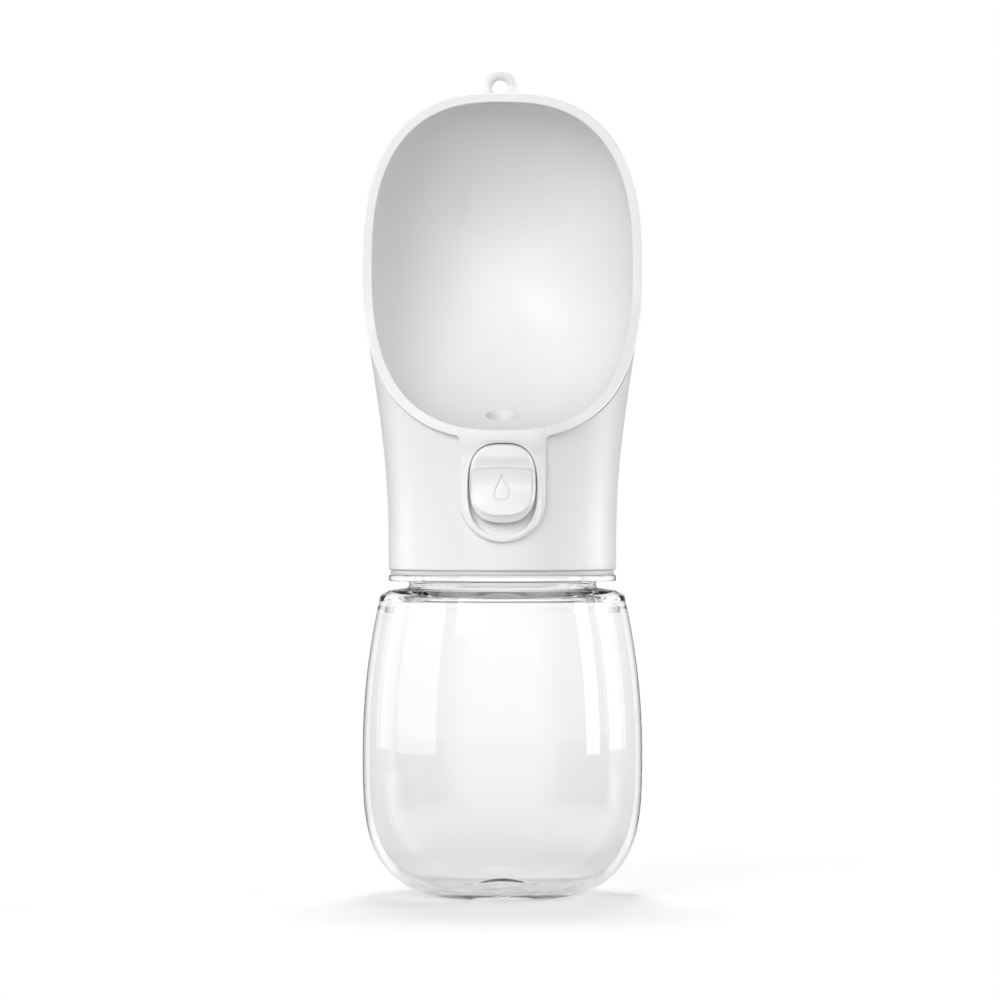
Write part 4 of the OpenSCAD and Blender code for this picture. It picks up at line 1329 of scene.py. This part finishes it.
def white_background(n, links):
    """1 where the camera looks straight at it or through the clear tank."""
    path, either = n.new("ShaderNodeLightPath"), n.new("ShaderNodeMath")
    either.operation = "MAXIMUM"
    links.new(path.outputs["Is Camera Ray"], either.inputs[0])
    links.new(path.outputs["Is Transmission Ray"], either.inputs[1])
    return either.outputs[0]


world = bpy.data.worlds.new("white_surround")
scene.world = world
world.use_nodes = True
n, links = world.node_tree.nodes, world.node_tree.links
surround = n["Background"]
surround.inputs["Color"].default_value = (1, 1, 1, 1)
strength = n.new("ShaderNodeMapRange")
strength.inputs["To Min"].default_value = 0.34
strength.inputs["To Max"].default_value = 1.0
links.new(white_background(n, links), strength.inputs["Value"])
links.new(strength.outputs["Result"], surround.inputs["Strength"])

bpy.ops.object.select_all(action="DESELECT")
bpy.ops.mesh.primitive_plane_add(size=60)
floor = bpy.context.object
floor.name = "floor"
floor_material, n, links = new_material("white_floor")
shader = n["Principled BSDF"]
shader.inputs["Roughness"].default_value = 1
shader.inputs["Specular IOR Level"].default_value = 0
shader.inputs["Emission Color"].default_value = (1, 1, 1, 1)
place, away, near = n.new("ShaderNodeTexCoord"), n.new("ShaderNodeVectorMath"), n.new("ShaderNodeMapRange")
away.operation = "LENGTH"
links.new(place.outputs["Object"], away.inputs[0])
links.new(away.outputs["Value"], near.inputs["Value"])
near.inputs["From Min"].default_value = 0.09
near.inputs["From Max"].default_value = 0.26
near.interpolation_type = "SMOOTHSTEP"
glow = n.new("ShaderNodeMath")
glow.operation = "MULTIPLY"
links.new(near.outputs["Result"], glow.inputs[1])
links.new(white_background(n, links), glow.inputs[0])
links.new(glow.outputs[0], shader.inputs["Emission Strength"])
links.new(ramp(n, links, near.outputs["Result"], [(0.0, 0.86), (1.0, 0.0)]), shader.inputs["Base Color"])
dress(floor, floor_material)

aim = Vector((-0.0007, 0, 0.1146))  # the middle of the picture


def softbox(name, azimuth, elevation, distance, width, height, power):
    """A soft lamp that faces the object. Azimuth 0 is in front, and 90 is on the right."""
    lamp = bpy.data.lights.new(name, "AREA")
    lamp.shape, lamp.size, lamp.size_y, lamp.energy = "RECTANGLE", width, height, power
    lit = bpy.data.objects.new(name, lamp)
    a, e = math.radians(azimuth), math.radians(elevation)
    back = Vector((math.sin(a) * math.cos(e), -math.cos(a) * math.cos(e), math.sin(e)))
    lit.location = aim + back * distance
    lit.rotation_euler = back.to_track_quat("Z", "Y").to_euler()
    scene.collection.objects.link(lit)


softbox("front_lamp", 0, 9, 2.0, 2.4, 0.7, 17.5)
softbox("key_lamp", -28, 30, 1.4, 0.7, 0.7, 7)
softbox("left_strip", -76, 5, 1.1, 0.84, 1.3, 3.4)
softbox("right_strip", 79, 5, 1.1, 0.27, 1.3, 2.2)
softbox("back_right_lamp", 110, 10, 1.2, 0.5, 1.0, 10)
softbox("back_left_lamp", -115, 10, 1.2, 0.5, 1.0, 6)
softbox("top_lamp", 180, 64, 1.2, 0.3, 0.3, 5.5)

camera = bpy.data.objects.new("camera", bpy.data.cameras.new("camera"))
scene.collection.objects.link(camera)
camera_distance = 1.7
picture_width = 0.29
camera.data.sensor_width = 36
camera.data.lens = 36 * camera_distance / picture_width
camera.location = aim + Vector((0, -camera_distance, 0))
camera.rotation_euler = (math.radians(90), 0, 0)
camera.data.clip_end = 50
scene.camera = camera
